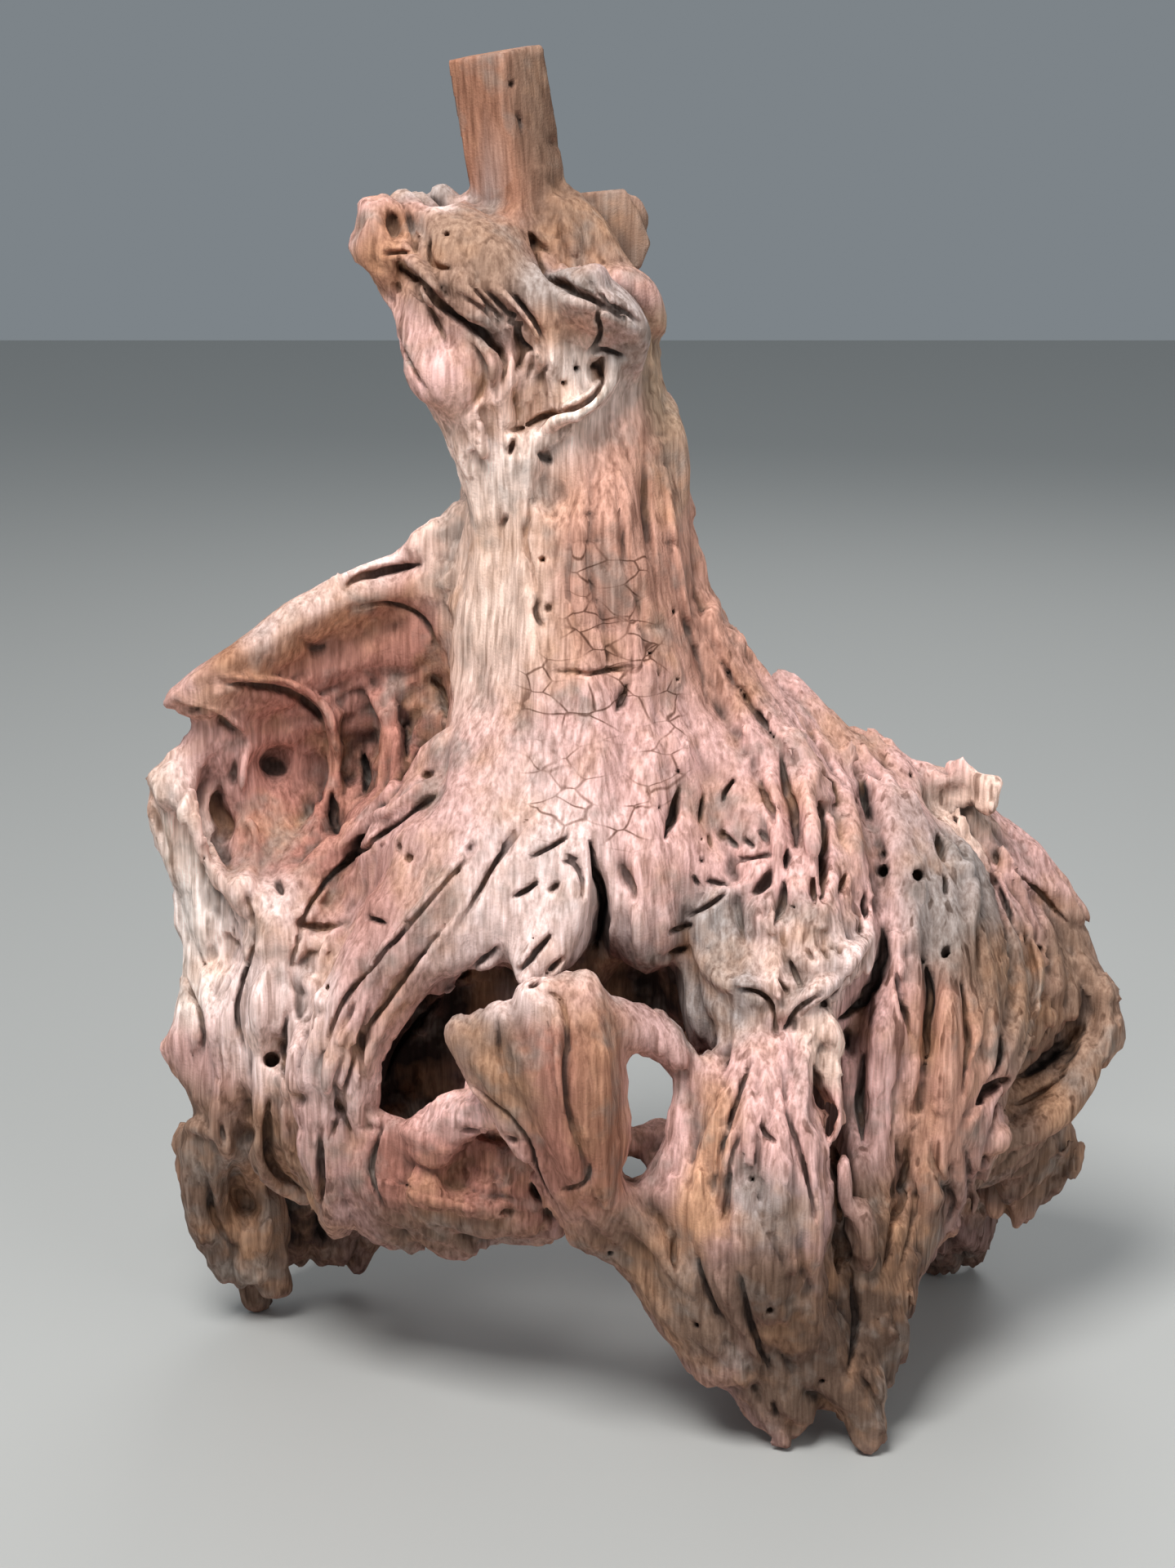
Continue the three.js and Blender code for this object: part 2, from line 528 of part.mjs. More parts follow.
function sideAndNormal(a, b, c) {
  const [ux, uy, uz] = [b[0] - a[0], b[1] - a[1], b[2] - a[2]];
  const [vx, vy, vz] = [c[0] - a[0], c[1] - a[1], c[2] - a[2]];
  const normal = [uy * vz - uz * vy, uz * vx - ux * vz, ux * vy - uy * vx];
  const [wx, wy, wz] = [vx - ux, vy - uy, vz - uz];
  const side = Math.max(
    ux * ux + uy * uy + uz * uz,
    vx * vx + vy * vy + vz * vz,
    wx * wx + wy * wy + wz * wz,
  );
  return { normal, side };
}

// A vertex's quadric: the upper half of the matrix that sums the squared distances to its planes.
function addPlane(quadric, plane, weight) {
  let n = 0;
  for (let i = 0; i < 4; i++) {
    for (let j = i; j < 4; j++) {
      quadric[n] += weight * plane[i] * plane[j];
      n += 1;
    }
  }
}

function costAt(q, [x, y, z]) {
  const inX = x * (q[0] * x + 2 * (q[1] * y + q[2] * z + q[3]));
  const inY = y * (q[4] * y + 2 * (q[5] * z + q[6]));
  return inX + inY + z * (q[7] * z + 2 * q[8]) + q[9];
}

function leastCostPlace(q) {
  const matrix = new THREE.Matrix3(q[0], q[1], q[2], q[1], q[4], q[5], q[2], q[5], q[7]);
  const scale = (q[0] + q[4] + q[7]) / 3;
  if (Math.abs(matrix.determinant()) < 1e-3 * scale ** 3) return null;
  return new THREE.Vector3(-q[3], -q[6], -q[8]).applyMatrix3(matrix.invert()).toArray();
}

// A heap that gives the cheapest entry first.
class Heap {
  entries = [];

  push(entry) {
    const heap = this.entries;
    let n = heap.push(entry) - 1;
    while (n > 0 && heap[(n - 1) >> 1].cost > entry.cost) {
      heap[n] = heap[(n - 1) >> 1];
      n = (n - 1) >> 1;
    }
    heap[n] = entry;
  }

  pop() {
    const heap = this.entries;
    const top = heap[0];
    const last = heap.pop();
    if (heap.length === 0) return top;
    let n = 0;
    for (;;) {
      let child = 2 * n + 1;
      if (child >= heap.length) break;
      if (child + 1 < heap.length && heap[child + 1].cost < heap[child].cost) child += 1;
      if (heap[child].cost >= last.cost) break;
      heap[n] = heap[child];
      n = child;
    }
    heap[n] = last;
    return top;
  }
}

function thin({ positions, triangles }, target) {
  const place = positions.map((p) => [...p]);
  const faces = triangles.map((t) => [...t]);
  const facesAt = place.map(() => new Set());
  const quadrics = place.map(() => new Float64Array(10));
  const version = new Int32Array(place.length);
  faces.forEach((face, number) => {
    const { normal } = sideAndNormal(...face.map((v) => place[v]));
    const length = Math.hypot(...normal);
    const unit = normal.map((n) => n / length);
    const p = place[face[0]];
    const plane = [...unit, -(unit[0] * p[0] + unit[1] * p[1] + unit[2] * p[2])];
    for (const v of face) {
      facesAt[v].add(number);
      addPlane(quadrics[v], plane, (length / 2) * (unit[1] > 0.3 ? BACK_WEIGHT : 1));
    }
  });

  const neighbours = (v) => {
    const found = new Set();
    for (const number of facesAt[v]) for (const w of faces[number]) found.add(w);
    found.delete(v);
    return found;
  };
  const heap = new Heap();
  const offer = (a, b) => {
    const quadric = quadrics[a].map((n, i) => n + quadrics[b][i]);
    const middle = place[a].map((n, i) => (n + place[b][i]) / 2);
    const length = Math.hypot(...place[a].map((n, i) => n - place[b][i]));
    const best = leastCostPlace(quadric);
    const near = best && Math.hypot(...best.map((n, i) => n - middle[i])) < length;
    const goal = near ? best : middle;
    const cost = costAt(quadric, goal) + LONG_EDGE * length ** 4;
    heap.push({ cost, a, b, goal, made: version[a] + version[b] });
  };
  const keepsShape = (moved, other, goal) => {
    for (const number of facesAt[moved]) {
      const face = faces[number];
      if (face.includes(other)) continue;
      const before = sideAndNormal(...face.map((v) => place[v]));
      const after = sideAndNormal(...face.map((v) => (v === moved ? goal : place[v])));
      const [m, n] = [before, after].map(({ normal }) => Math.hypot(...normal));
      const turn = before.normal.reduce((sum, b, i) => sum + b * after.normal[i], 0);
      const shape = n / after.side;
      const worse = shape < LEAST_SHAPE && shape < m / before.side;
      if (worse || turn < LEAST_TURN * m * n) return false;
    }
    return true;
  };

  faces.forEach(([a, b, c]) => {
    if (a < b) offer(a, b);
    if (b < c) offer(b, c);
    if (c < a) offer(c, a);
  });
  let left = faces.length;
  while (left > target && heap.entries.length > 0) {
    const { a, b, goal, made } = heap.pop();
    if (facesAt[a].size === 0 || facesAt[b].size === 0 || made !== version[a] + version[b]) continue;
    const nearB = neighbours(b);
    const shared = [...neighbours(a)].filter((v) => nearB.has(v));
    if (shared.length !== 2 || !keepsShape(a, b, goal) || !keepsShape(b, a, goal)) continue;
    for (const number of [...facesAt[b]]) {
      const face = faces[number];
      if (face.includes(a)) {
        for (const v of face) facesAt[v].delete(number);
        left -= 1;
      } else {
        face[face.indexOf(b)] = a;
        facesAt[a].add(number);
      }
    }
    facesAt[b].clear();
    place[a] = goal;
    quadrics[a] = quadrics[a].map((n, i) => n + quadrics[b][i]);
    version[a] += version[b] + 1;
    for (const v of neighbours(a)) offer(a, v);
  }

  const number = new Map();
  const kept = faces.filter((face, n) => facesAt[face[0]].has(n));
  for (const v of kept.flat()) if (!number.has(v)) number.set(v, number.size);
  return {
    positions: [...number.keys()].map((v) => place[v]),
    triangles: kept.map((f) => f.map((v) => number.get(v))),
  };
}

// The whittled peg: a five-sided stub that leans to the left, with its foot sunk in the head

const PEG = {
  foot: [644, 290, 12], // the middle of its lower end
  length: 78,
  lean: THREE.MathUtils.degToRad(-9.5),
  section: [[1, -20], [21, -3], [13, 19], [-13, 17], [-20, -4]],
};

function whittledPeg() {
  const outline = new THREE.Shape(PEG.section.map(([x, y]) => new THREE.Vector2(x, y)));
  const geometry = new THREE.ExtrudeGeometry(outline, { depth: PEG.length, bevelEnabled: false });
  const foot = seen(PEG.foot);
  return geometry.rotateY(PEG.lean).translate(foot.x, foot.y, foot.z);
}

// Joining and trimming

const solids = await Module();
solids.setup();

function geometryOf({ positions, triangles }) {
  return new THREE.BufferGeometry()
    .setAttribute("position", new THREE.Float32BufferAttribute(positions.flat(), 3))
    .setIndex(triangles.flat());
}

function solidOf(geometry) {
  const bare = new THREE.BufferGeometry().setAttribute("position", geometry.getAttribute("position"));
  bare.setIndex(geometry.index);
  const merged = mergeVertices(bare, 1e-3);
  return new solids.Manifold(
    new solids.Mesh({
      numProp: 3,
      vertProperties: new Float32Array(merged.getAttribute("position").array),
      triVerts: new Uint32Array(merged.index.array),
    }),
  );
}

function geometryOfSolid(solid) {
  const { vertProperties, triVerts } = solid.getMesh();
  return new THREE.BufferGeometry()
    .setAttribute("position", new THREE.BufferAttribute(new Float32Array(vertProperties), 3))
    .setIndex(new THREE.BufferAttribute(new Uint32Array(triVerts), 1));
}

const GROUND = 60; // thickness of what is trimmed off below the feet
growRoot();
const grown = thin(largestShell(polygonise()), TRIANGLES);
const below = new THREE.BoxGeometry(2 * WIDTH, 2 * DEPTH, GROUND).translate(0, 0, -GROUND / 2);
const whole = solidOf(geometryOf(grown)).add(solidOf(whittledPeg())).subtract(solidOf(below));
const geometry = geometryOfSolid(whole);
geometry.computeBoundingBox();
const middle = geometry.boundingBox.getCenter(new THREE.Vector3());
geometry.translate(-middle.x, -middle.y, 0);
geometry.computeVertexNormals();

const wood = new THREE.MeshStandardMaterial({ color: 0xa9806c, roughness: 0.85, metalness: 0 });
const root = new THREE.Mesh(geometry, wood);
root.name = "dry_root";
const group = new THREE.Group();
group.add(root);
export default group;
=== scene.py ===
import math

import bmesh
import bpy
import numpy as np
import openvdb
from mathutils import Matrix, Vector
from mathutils.bvhtree import BVHTree


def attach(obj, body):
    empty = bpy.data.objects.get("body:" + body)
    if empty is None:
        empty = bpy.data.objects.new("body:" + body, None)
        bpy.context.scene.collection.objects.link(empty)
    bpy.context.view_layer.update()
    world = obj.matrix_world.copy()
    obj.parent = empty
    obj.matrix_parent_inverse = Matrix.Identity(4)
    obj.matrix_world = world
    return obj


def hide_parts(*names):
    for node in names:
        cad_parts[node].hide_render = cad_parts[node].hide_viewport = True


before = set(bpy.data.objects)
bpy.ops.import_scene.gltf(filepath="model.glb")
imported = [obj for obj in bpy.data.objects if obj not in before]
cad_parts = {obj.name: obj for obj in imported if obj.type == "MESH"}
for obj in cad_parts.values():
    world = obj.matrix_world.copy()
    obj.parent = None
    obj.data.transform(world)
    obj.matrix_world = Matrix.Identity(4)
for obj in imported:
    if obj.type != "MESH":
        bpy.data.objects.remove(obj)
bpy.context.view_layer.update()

# Driving values, in millimetres unless a name says otherwise
STEP = 1.4  # grid step of the fine wood
BAND = 6 * STEP  # how far from the surface distances are kept
ROOM = 12  # empty grid round the wood
SMOOTHING = 2.6  # takes the CAD model's facets off
TRIANGLES = 197000
TURNED_AWAY = 0.25  # how far a face looks backward before it is thinned more
SPARE_FACTOR = 2e-5  # how strongly those faces are preferred
MM = 0.001
FAR_BEHIND = 3000

# The front view: pixels of a 1439 by 1920 picture, seen from a little above
PHOTO_CENTRE = (719.5, 960)
PHOTO_HEIGHT = 1920
FOCAL = 3712
PITCH = math.radians(15)
DISTANCE = 1350
AIM = np.array([-24.78, -6.88, 272])
FORWARD = np.array([0, math.cos(PITCH), -math.sin(PITCH)])
UPWARD = np.array([0, math.sin(PITCH), math.cos(PITCH)])
EYE = AIM - DISTANCE * FORWARD


def view_ray(u, v):
    across = np.array([(u - PHOTO_CENTRE[0]) / FOCAL, 0, 0])
    ray = FORWARD + across + UPWARD * (PHOTO_CENTRE[1] - v) / FOCAL
    return ray / np.linalg.norm(ray)


# The wood as a distance field, negative inside

def cad_mesh(name):
    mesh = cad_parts[name].data
    mesh.calc_loop_triangles()
    points = np.empty(len(mesh.vertices) * 3)
    mesh.vertices.foreach_get("co", points)
    corners = np.empty(len(mesh.loop_triangles) * 3, dtype=np.int32)
    mesh.loop_triangles.foreach_get("vertices", corners)
    return points.reshape(-1, 3) / MM, corners.reshape(-1, 3)


def blur(values, sigma):
    """A Gaussian blur of a grid, with sigma in grid steps."""
    reach = math.ceil(2.5 * sigma)
    weights = np.exp(-0.5 * (np.arange(reach + 1) / sigma) ** 2)
    weights = (weights / (weights[0] + 2 * weights[1:].sum())).astype(np.float32)
    for axis in range(3):
        lines = np.moveaxis(values, axis, 0)
        padded = np.concatenate([lines[:1]] * reach + [lines] + [lines[-1:]] * reach)
        total = weights[0] * lines
        count = len(lines)
        for shift in range(1, reach + 1):
            total += weights[shift] * padded[reach - shift:reach - shift + count]
            total += weights[shift] * padded[reach + shift:reach + shift + count]
        values = np.moveaxis(total, 0, axis)
    return np.ascontiguousarray(values)


def doubled(values):
    """A grid of half the step, with the values between filled in."""
    for axis in range(3):
        lines = np.moveaxis(values, axis, 0)
        finer = np.empty((2 * len(lines) - 1, *lines.shape[1:]), dtype=np.float32)
        finer[0::2] = lines
        finer[1::2] = (lines[1:] + lines[:-1]) / 2
        values = np.moveaxis(finer, 0, axis)
    return np.ascontiguousarray(values)


def smooth_min(a, b, blend):
    h = np.maximum(blend - np.abs(a - b), 0) / blend
    return np.minimum(a, b) - h * h * blend / 4


def between(values, places):
    """Values at places between a grid's points, in grid steps."""
    places = np.clip(places, 0, np.array(values.shape) - 1).astype(np.float32)
    cells = np.clip(places.astype(np.int32), 0, np.array(values.shape) - 2)
    parts = places - cells
    total = np.zeros(len(places), dtype=np.float32)
    for corner in np.ndindex(2, 2, 2):
        share = np.ones(len(places), dtype=np.float32)
        for axis in range(3):
            share *= parts[:, axis] if corner[axis] else 1 - parts[:, axis]
        i, j, k = (cells + np.array(corner)).T
        total += share * values[i, j, k]
    return total


class Field:
    """Distances on a grid in millimetres, with tools that grow and carve the wood."""

    def __init__(self, points, triangles):
        coarse = 2 * STEP
        grid = openvdb.FloatGrid.createLevelSetFromPolygons(
            points, triangles=triangles, transform=openvdb.createLinearTransform(voxelSize=coarse),
            halfWidth=BAND / coarse)
        first = np.floor((points.min(axis=0) - ROOM) / coarse).astype(int)
        last = np.ceil((points.max(axis=0) + ROOM) / coarse).astype(int)
        values = np.full(last - first + 1, BAND, dtype=np.float32)
        grid.copyToArray(values, ijk=tuple(int(n) for n in first))
        self.values = doubled(blur(values, SMOOTHING / coarse))
        self.first = 2 * first
        self.low = self.first * STEP
        self.axes = [self.low[n] + STEP * np.arange(self.values.shape[n]) for n in range(3)]

    def block(self, low, high):
        """The part of the grid between two corners, as slices, or None where it is empty."""
        start = np.clip(np.floor((low - self.low) / STEP).astype(int), 0, self.values.shape)
        stop = np.clip(np.ceil((high - self.low) / STEP).astype(int) + 1, 0, self.values.shape)
        if (stop <= start).any():
            return None
        return tuple(slice(int(a), int(b)) for a, b in zip(start, stop))

    def offsets(self, block, place):
        grids = [self.axes[n][block[n]] - place[n] for n in range(3)]
        return grids[0][:, None, None], grids[1][None, :, None], grids[2][None, None, :]

    def sculpt(self, chains, blend, grows):
        """Adds or cuts chains of round-ended segments. A chain is (points, radii)."""
        reach = max(radii.max() for _, radii in chains) + blend + STEP
        everything = np.concatenate([points for points, _ in chains])
        whole = self.block(everything.min(axis=0) - reach, everything.max(axis=0) + reach)
        if whole is None:
            return
        starts = np.array([part.start for part in whole])
        nearest = np.full([part.stop - part.start for part in whole], FAR_BEHIND, dtype=np.float32)
        for points, radii in chains:
            for a, b, near, far in zip(points[:-1], points[1:], radii[:-1], radii[1:]):
                margin = max(near, far) + blend + STEP
                part = self.block(np.minimum(a, b) - margin, np.maximum(a, b) + margin)
                if part is None:
                    continue
                x, y, z = self.offsets(part, a)
                edge = b - a
                length = max(edge @ edge, 1e-6)
                t = np.clip((x * edge[0] + y * edge[1] + z * edge[2]) / length, 0, 1)
                away = np.sqrt((x - t * edge[0]) ** 2 + (y - t * edge[1]) ** 2 + (z - t * edge[2]) ** 2)
                inner = tuple(slice(p.start - s, p.stop - s) for p, s in zip(part, starts))
                nearest[inner] = np.minimum(nearest[inner], away - near - t * (far - near))
        wood = self.values[whole]
        if grows:
            self.values[whole] = smooth_min(wood, nearest, blend)
        else:
            self.values[whole] = -smooth_min(-wood, nearest, blend)

    def sample(self, points):
        """Distances between the grid's points."""
        return between(self.values, (points - self.low) / STEP)

    def slope(self, points):
        """The unit direction out of the wood."""
        steps = np.eye(3) * STEP
        slope = np.stack([self.sample(points + s) - self.sample(points - s) for s in steps], axis=1)
        return slope / np.maximum(np.linalg.norm(slope, axis=1, keepdims=True), 1e-6)

    def roughen(self, random, scale, height):
        """Lumps of a given size, from random heights on a coarse grid."""
        coarse = [math.ceil(n * STEP / scale) + 3 for n in self.values.shape]
        lumps = random.uniform(-1, 1, coarse).astype(np.float32)
        for axis, count in enumerate(self.values.shape):
            place = np.arange(count) * STEP / scale + 0.5
            cell = place.astype(int)
            part = place - cell
            part = (part * part * (3 - 2 * part)).astype(np.float32)
            shape = [-1 if n == axis else 1 for n in range(3)]
            part = part.reshape(shape)
            lumps = lumps.take(cell, axis=axis) * (1 - part) + lumps.take(cell + 1, axis=axis) * part
        self.values += height * lumps

    def surface(self):
        """The points, triangles and quads of the surface."""
        grid = openvdb.FloatGrid(BAND)
        grid.transform = openvdb.createLinearTransform(voxelSize=STEP)
        grid.copyFromArray(self.values, ijk=tuple(int(n) for n in self.first), tolerance=0)
        return grid.convertToPolygons(isovalue=0.0, adaptivity=0.0)


points, triangles = cad_mesh("dry_root")
tree = BVHTree.FromPolygons(points.tolist(), triangles.tolist())
wood = Field(points, triangles)


# Strokes: lines of pixels laid on the wood as it is seen from the front, or on its back along the same rays

def hits(pixels, behind=False):
    """Where the view's rays meet the CAD model."""
    found = []
    for u, v in pixels:
        ray = view_ray(u, v)
        start = EYE + FAR_BEHIND * ray if behind else EYE
        place = tree.ray_cast(Vector(start), Vector(-ray if behind else ray))[0]
        if place is not None:
            found.append(np.array(place))
    return np.array(found)


# How far along a ray the wood is looked for
NEAR_SIDE = DISTANCE - 260
FAR_SIDE = DISTANCE + 420
CAUTION = 0.9  # share of the distance to the wood that a ray steps at once
LEAST_STEP = 0.01  # added to each step, so that a ray always ends
HIT = 0.1  # how near the surface a ray has met it


def meets(pixels):
    """Where the view's rays meet the carved wood, with the direction into it."""
    rays = np.array([view_ray(u, v) for u, v in pixels])
    places = EYE + rays * NEAR_SIDE
    left = np.full(len(rays), FAR_SIDE - NEAR_SIDE, dtype=float)
    gaps = wood.sample(places)
    while ((gaps > HIT) & (left > 0)).any():
        step = np.where(left > 0, CAUTION * np.maximum(gaps, 0), 0)
        places += rays * step[:, None]
        left -= step + LEAST_STEP
        gaps = wood.sample(places)
    inward = rays - wood.slope(places)
    inward /= np.linalg.norm(inward, axis=1, keepdims=True)
    return [(place, way) for place, way, gap in zip(places, inward, gaps) if gap <= HIT]


def curve(pixels, spacing):
    """Points a few pixels apart along a smooth line through pixels, given as u and v in turn."""
    rows = np.array(pixels, dtype=float).reshape(-1, 2)
    ends = np.concatenate([[2 * rows[0] - rows[1]], rows, [2 * rows[-1] - rows[-2]]])
    points = []
    for a, b, c, d in zip(ends[:-3], ends[1:-2], ends[2:-1], ends[3:]):
        count = max(1, round(np.linalg.norm(c - b) / spacing))
        for t in np.arange(count) / count:
            points.append(0.5 * (2 * b + (c - a) * t + (2 * a - 5 * b + 4 * c - d) * t ** 2
                                 + (3 * b - a - 3 * c + d) * t ** 3))
    return np.array(points + [rows[-1]])


PIXEL_SPACING = 5
LONGEST_JUMP = 16  # a stroke breaks where the wood steps further than this
TIP = 0.06  # how far into its swelling a stroke starts
SHOULDER = 1.6  # radius of a cut's rolled edge, in radii of the cut
SHOULDER_LIFT = 0.9  # how far it stands above the surface, in its own radii
SHOULDER_SINK = 0.15  # how much deeper it lies in the middle
ROLLED_FROM = 3  # width of the narrowest cut with rolled edges
LEAST_RADIUS = 0.75 * STEP  # of what the grid can hold
PROUD = 2  # how far above the surface a cut starts
LAYER = 0.45  # step from one layer of a cut down to the next, in widths
TAPER = 0.55  # share of its width that a cut loses by its bottom
EDGE_BLEND = 0.6  # of a rolled edge, in widths
WALL_BLEND = 0.6  # of a cut's walls


def runs(pixels):
    """The stretches of a stroke that lie on one surface, as places and directions inward."""
    found = meets(curve(pixels, PIXEL_SPACING))
    stretches = []
    for place, inward in found:
        if not stretches or np.linalg.norm(place - stretches[-1][-1][0]) > LONGEST_JUMP:
            stretches.append([])
        stretches[-1].append((place, inward))
    for stretch in stretches:
        if len(stretch) > 1:
            yield np.array([p for p, _ in stretch]), np.array([d for _, d in stretch])


def swelling(count):
    """How full a stroke is along its length, near 0 at its ends and 1 in the middle."""
    return np.sin(np.linspace(TIP, math.pi - TIP, count)) ** 0.7


def cut(pixels, width, depth):
    """A slot with pointed ends that narrows as it goes in, with its edges rolled over."""
    for places, inward in runs(pixels):
        shares = swelling(len(places))
        radii = np.maximum(width / 2 * shares, LEAST_RADIUS)
        if width > ROLLED_FROM:
            rounded = SHOULDER * radii
            lifted = (SHOULDER_LIFT - SHOULDER_SINK * shares) * rounded
            wood.sculpt([(places - inward * lifted[:, None], rounded)], EDGE_BLEND * width, grows=False)
        chains = []
        for sunk in np.arange(-PROUD, depth, LAYER * width):
            narrow = 1 - TAPER * max(sunk, 0) / depth
            inside = np.minimum(sunk, depth * shares - 0.9 * radii)
            chains.append((places + inward * inside[:, None], np.maximum(radii * narrow, LEAST_RADIUS)))
        wood.sculpt(chains, WALL_BLEND, grows=False)


def raise_rib(pixels, width, height):
    """A rounded rib that stands out of the wood by its height."""
    for places, inward in runs(pixels):
        shares = swelling(len(places))
        radii = width / 2 * (0.3 + 0.7 * shares)
        axis = places + inward * (radii - height * shares)[:, None]
        wood.sculpt([(axis, radii)], width / 3, grows=True)


def dent(u, v, radius, depth):
    """A round hole, with its radius in pixels."""
    for place, inward in meets([(u, v)]):
        width = radius / FOCAL * DISTANCE
        ends = np.array([place - inward * width / 2, place + inward * max(depth - width, 0.1)])
        wood.sculpt([(ends, np.array([width, width * 0.8]))], 1.0, grows=False)


# Grain: guide lines down the root, each with how rough the wood is along it

GRAIN = [
    (0.5, [600, 520, 590, 700, 580, 900, 520, 1100, 440, 1300]),
    (0.6, [660, 560, 650, 740, 655, 900, 600, 1080, 560, 1180]),
    (0.6, [720, 540, 720, 740, 740, 900, 720, 1050, 690, 1150]),
    (0.9, [800, 540, 820, 740, 860, 900, 920, 1040, 935, 1200]),
    (1.6, [880, 800, 960, 920, 1010, 1060, 1010, 1160]),
    (1.8, [1050, 950, 1110, 1080, 1110, 1300, 1090, 1440]),
    (1.7, [1160, 1000, 1230, 1120, 1240, 1240, 1190, 1360, 1160, 1500]),
    (1.4, [1250, 1060, 1320, 1160, 1350, 1240, 1310, 1340, 1230, 1400]),
    (1.3, [940, 1280, 935, 1420, 950, 1560, 990, 1680, 1050, 1760]),
    (0.8, [600, 1245, 650, 1340, 705, 1460, 760, 1540, 860, 1650]),
    (0.6, [700, 1205, 715, 1330, 735, 1480]),
    (0.7, [540, 700, 420, 720, 300, 800, 220, 840]),
    (0.7, [540, 800, 420, 820, 300, 860, 240, 900]),
    (1.1, [530, 900, 470, 960, 420, 1050, 360, 1130, 330, 1250, 320, 1400, 300, 1560]),
    (1.0, [200, 940, 190, 1010, 220, 1120, 215, 1240]),
    (0.6, [440, 860, 380, 880, 330, 960, 300, 1060]),
    (1.5, [500, 1100, 430, 1230, 390, 1380, 410, 1510]),
    (1.2, [460, 1420, 560, 1440, 680, 1450]),
    (1.3, [480, 300, 540, 370, 610, 430, 640, 480, 640, 560]),
    (1.2, [560, 260, 600, 340, 660, 420, 690, 480]),
    (1.0, [680, 250, 730, 330, 790, 380, 815, 460, 825, 560]),
    (0.1, [610, 80, 620, 140, 635, 210]),
]
BACK_GRAIN = [
    (0.1, [610, 80, 620, 140, 635, 210]),
    (0.9, [560, 300, 600, 400, 640, 520]),
    (0.9, [700, 300, 740, 400, 780, 520]),
    (1.5, [600, 520, 560, 800, 480, 1100, 430, 1350]),
    (1.5, [700, 560, 700, 900, 680, 1250]),
    (1.5, [800, 560, 850, 900, 960, 1250, 1100, 1480]),
    (0.9, [540, 720, 400, 780, 260, 850]),
    (0.9, [520, 950, 380, 1000, 230, 1030]),
    (1.0, [470, 1140, 340, 1200, 300, 1400, 305, 1560]),
    (1.5, [950, 940, 1100, 1100, 1200, 1280, 1180, 1480]),
    (1.5, [1050, 960, 1250, 1100, 1340, 1230]),
]
GUIDE_SPACING = 30  # pixels
GUIDE_REACH = 18
BATCH = 8000  # points looked up at once


def guide_lines():
    """Places on the guide lines, with the grain's direction and roughness at each."""
    places, ways, roughness = [], [], []
    for guides, behind in ((GRAIN, False), (BACK_GRAIN, True)):
        for rough, pixels in guides:
            line = hits(curve(pixels, GUIDE_SPACING), behind)
            steps = np.gradient(line, axis=0)
            places.append(line)
            ways.append(steps / np.linalg.norm(steps, axis=1, keepdims=True))
            roughness.append(np.full(len(line), rough))
    return np.concatenate(places), np.concatenate(ways), np.concatenate(roughness)


guide_places, guide_ways, guide_roughness = guide_lines()


def grain_at(points):
    """The grain's unit direction and the roughness at points, from the nearest guide lines."""
    ways = np.empty((len(points), 3))
    rough = np.empty(len(points))
    for start in range(0, len(points), BATCH):
        part = slice(start, start + BATCH)
        gaps = ((points[part, None] - guide_places[None]) ** 2).sum(axis=2)
        weights = 1 / (gaps + GUIDE_REACH ** 2) ** 2
        ways[part] = weights @ guide_ways
        rough[part] = weights @ guide_roughness / weights.sum(axis=1)
    return ways / np.maximum(np.linalg.norm(ways, axis=1, keepdims=True), 1e-9), rough


GRAIN_CELL = 8  # step of the coarse grid that holds the grain


class CoarseGrain:
    """The grain's direction and roughness on a coarse grid, for many lookups."""

    def __init__(self):
        counts = [math.ceil(n * STEP / GRAIN_CELL) + 1 for n in wood.values.shape]
        cells = np.stack(np.meshgrid(*[np.arange(n) for n in counts], indexing="ij"), axis=-1)
        ways, rough = grain_at(wood.low + GRAIN_CELL * cells.reshape(-1, 3))
        self.ways = ways.reshape(*counts, 3).astype(np.float32)
        self.rough = rough.reshape(counts).astype(np.float32)

    def smooth(self, points):
        """The direction and roughness between the grid's points."""
        places = (points - wood.low) / GRAIN_CELL
        ways = np.stack([between(self.ways[..., n], places) for n in range(3)], axis=1)
        return ways / np.linalg.norm(ways, axis=1, keepdims=True), between(self.rough, places)

    def nearest(self, points):
        cells = np.rint((points - wood.low) / GRAIN_CELL).astype(np.int32)
        i, j, k = np.clip(cells, 0, np.array(self.rough.shape) - 1).T
        return self.ways[i, j, k], self.rough[i, j, k]


grain = CoarseGrain()


def fibres(random, size, length):
    """Noise drawn out along the grain, of a given size across it, on a grid of its own."""
    cell = max(STEP, size / 3)
    counts = [math.ceil((n - 1) * STEP / cell) + 1 for n in wood.values.shape]
    speckle = np.pad(random.standard_normal([TILE] * 3, dtype=np.float32), EDGE, mode="wrap")
    speckle = blur(speckle, size / cell / 2.5)[EDGE:-EDGE, EDGE:-EDGE, EDGE:-EDGE]
    steps = [np.minimum(np.rint(np.arange(n) * cell / STEP).astype(int), m - 1)
             for n, m in zip(counts, wood.values.shape)]
    near = np.nonzero(np.abs(wood.values[np.ix_(*steps)]) < FIBRE_DEPTH + cell)
    places = np.stack(near, axis=1).astype(np.float32)
    strides = round(2 * GRAIN_LEG / size)
    total = np.zeros(len(places), dtype=np.float32)
    for sense in (1, -1):
        walk = places.copy()
        for _ in range(round(length / GRAIN_LEG)):
            ways, _ = grain.nearest(walk * cell + wood.low)
            ways *= sense * GRAIN_LEG / strides / cell
            for _ in range(strides):
                i, j, k = (walk + TILE).astype(np.int32).T % TILE
                total += speckle[i, j, k]
                walk += ways
    drawn = np.zeros(counts, dtype=np.float32)
    drawn[near] = total / total.std()
    return drawn, cell


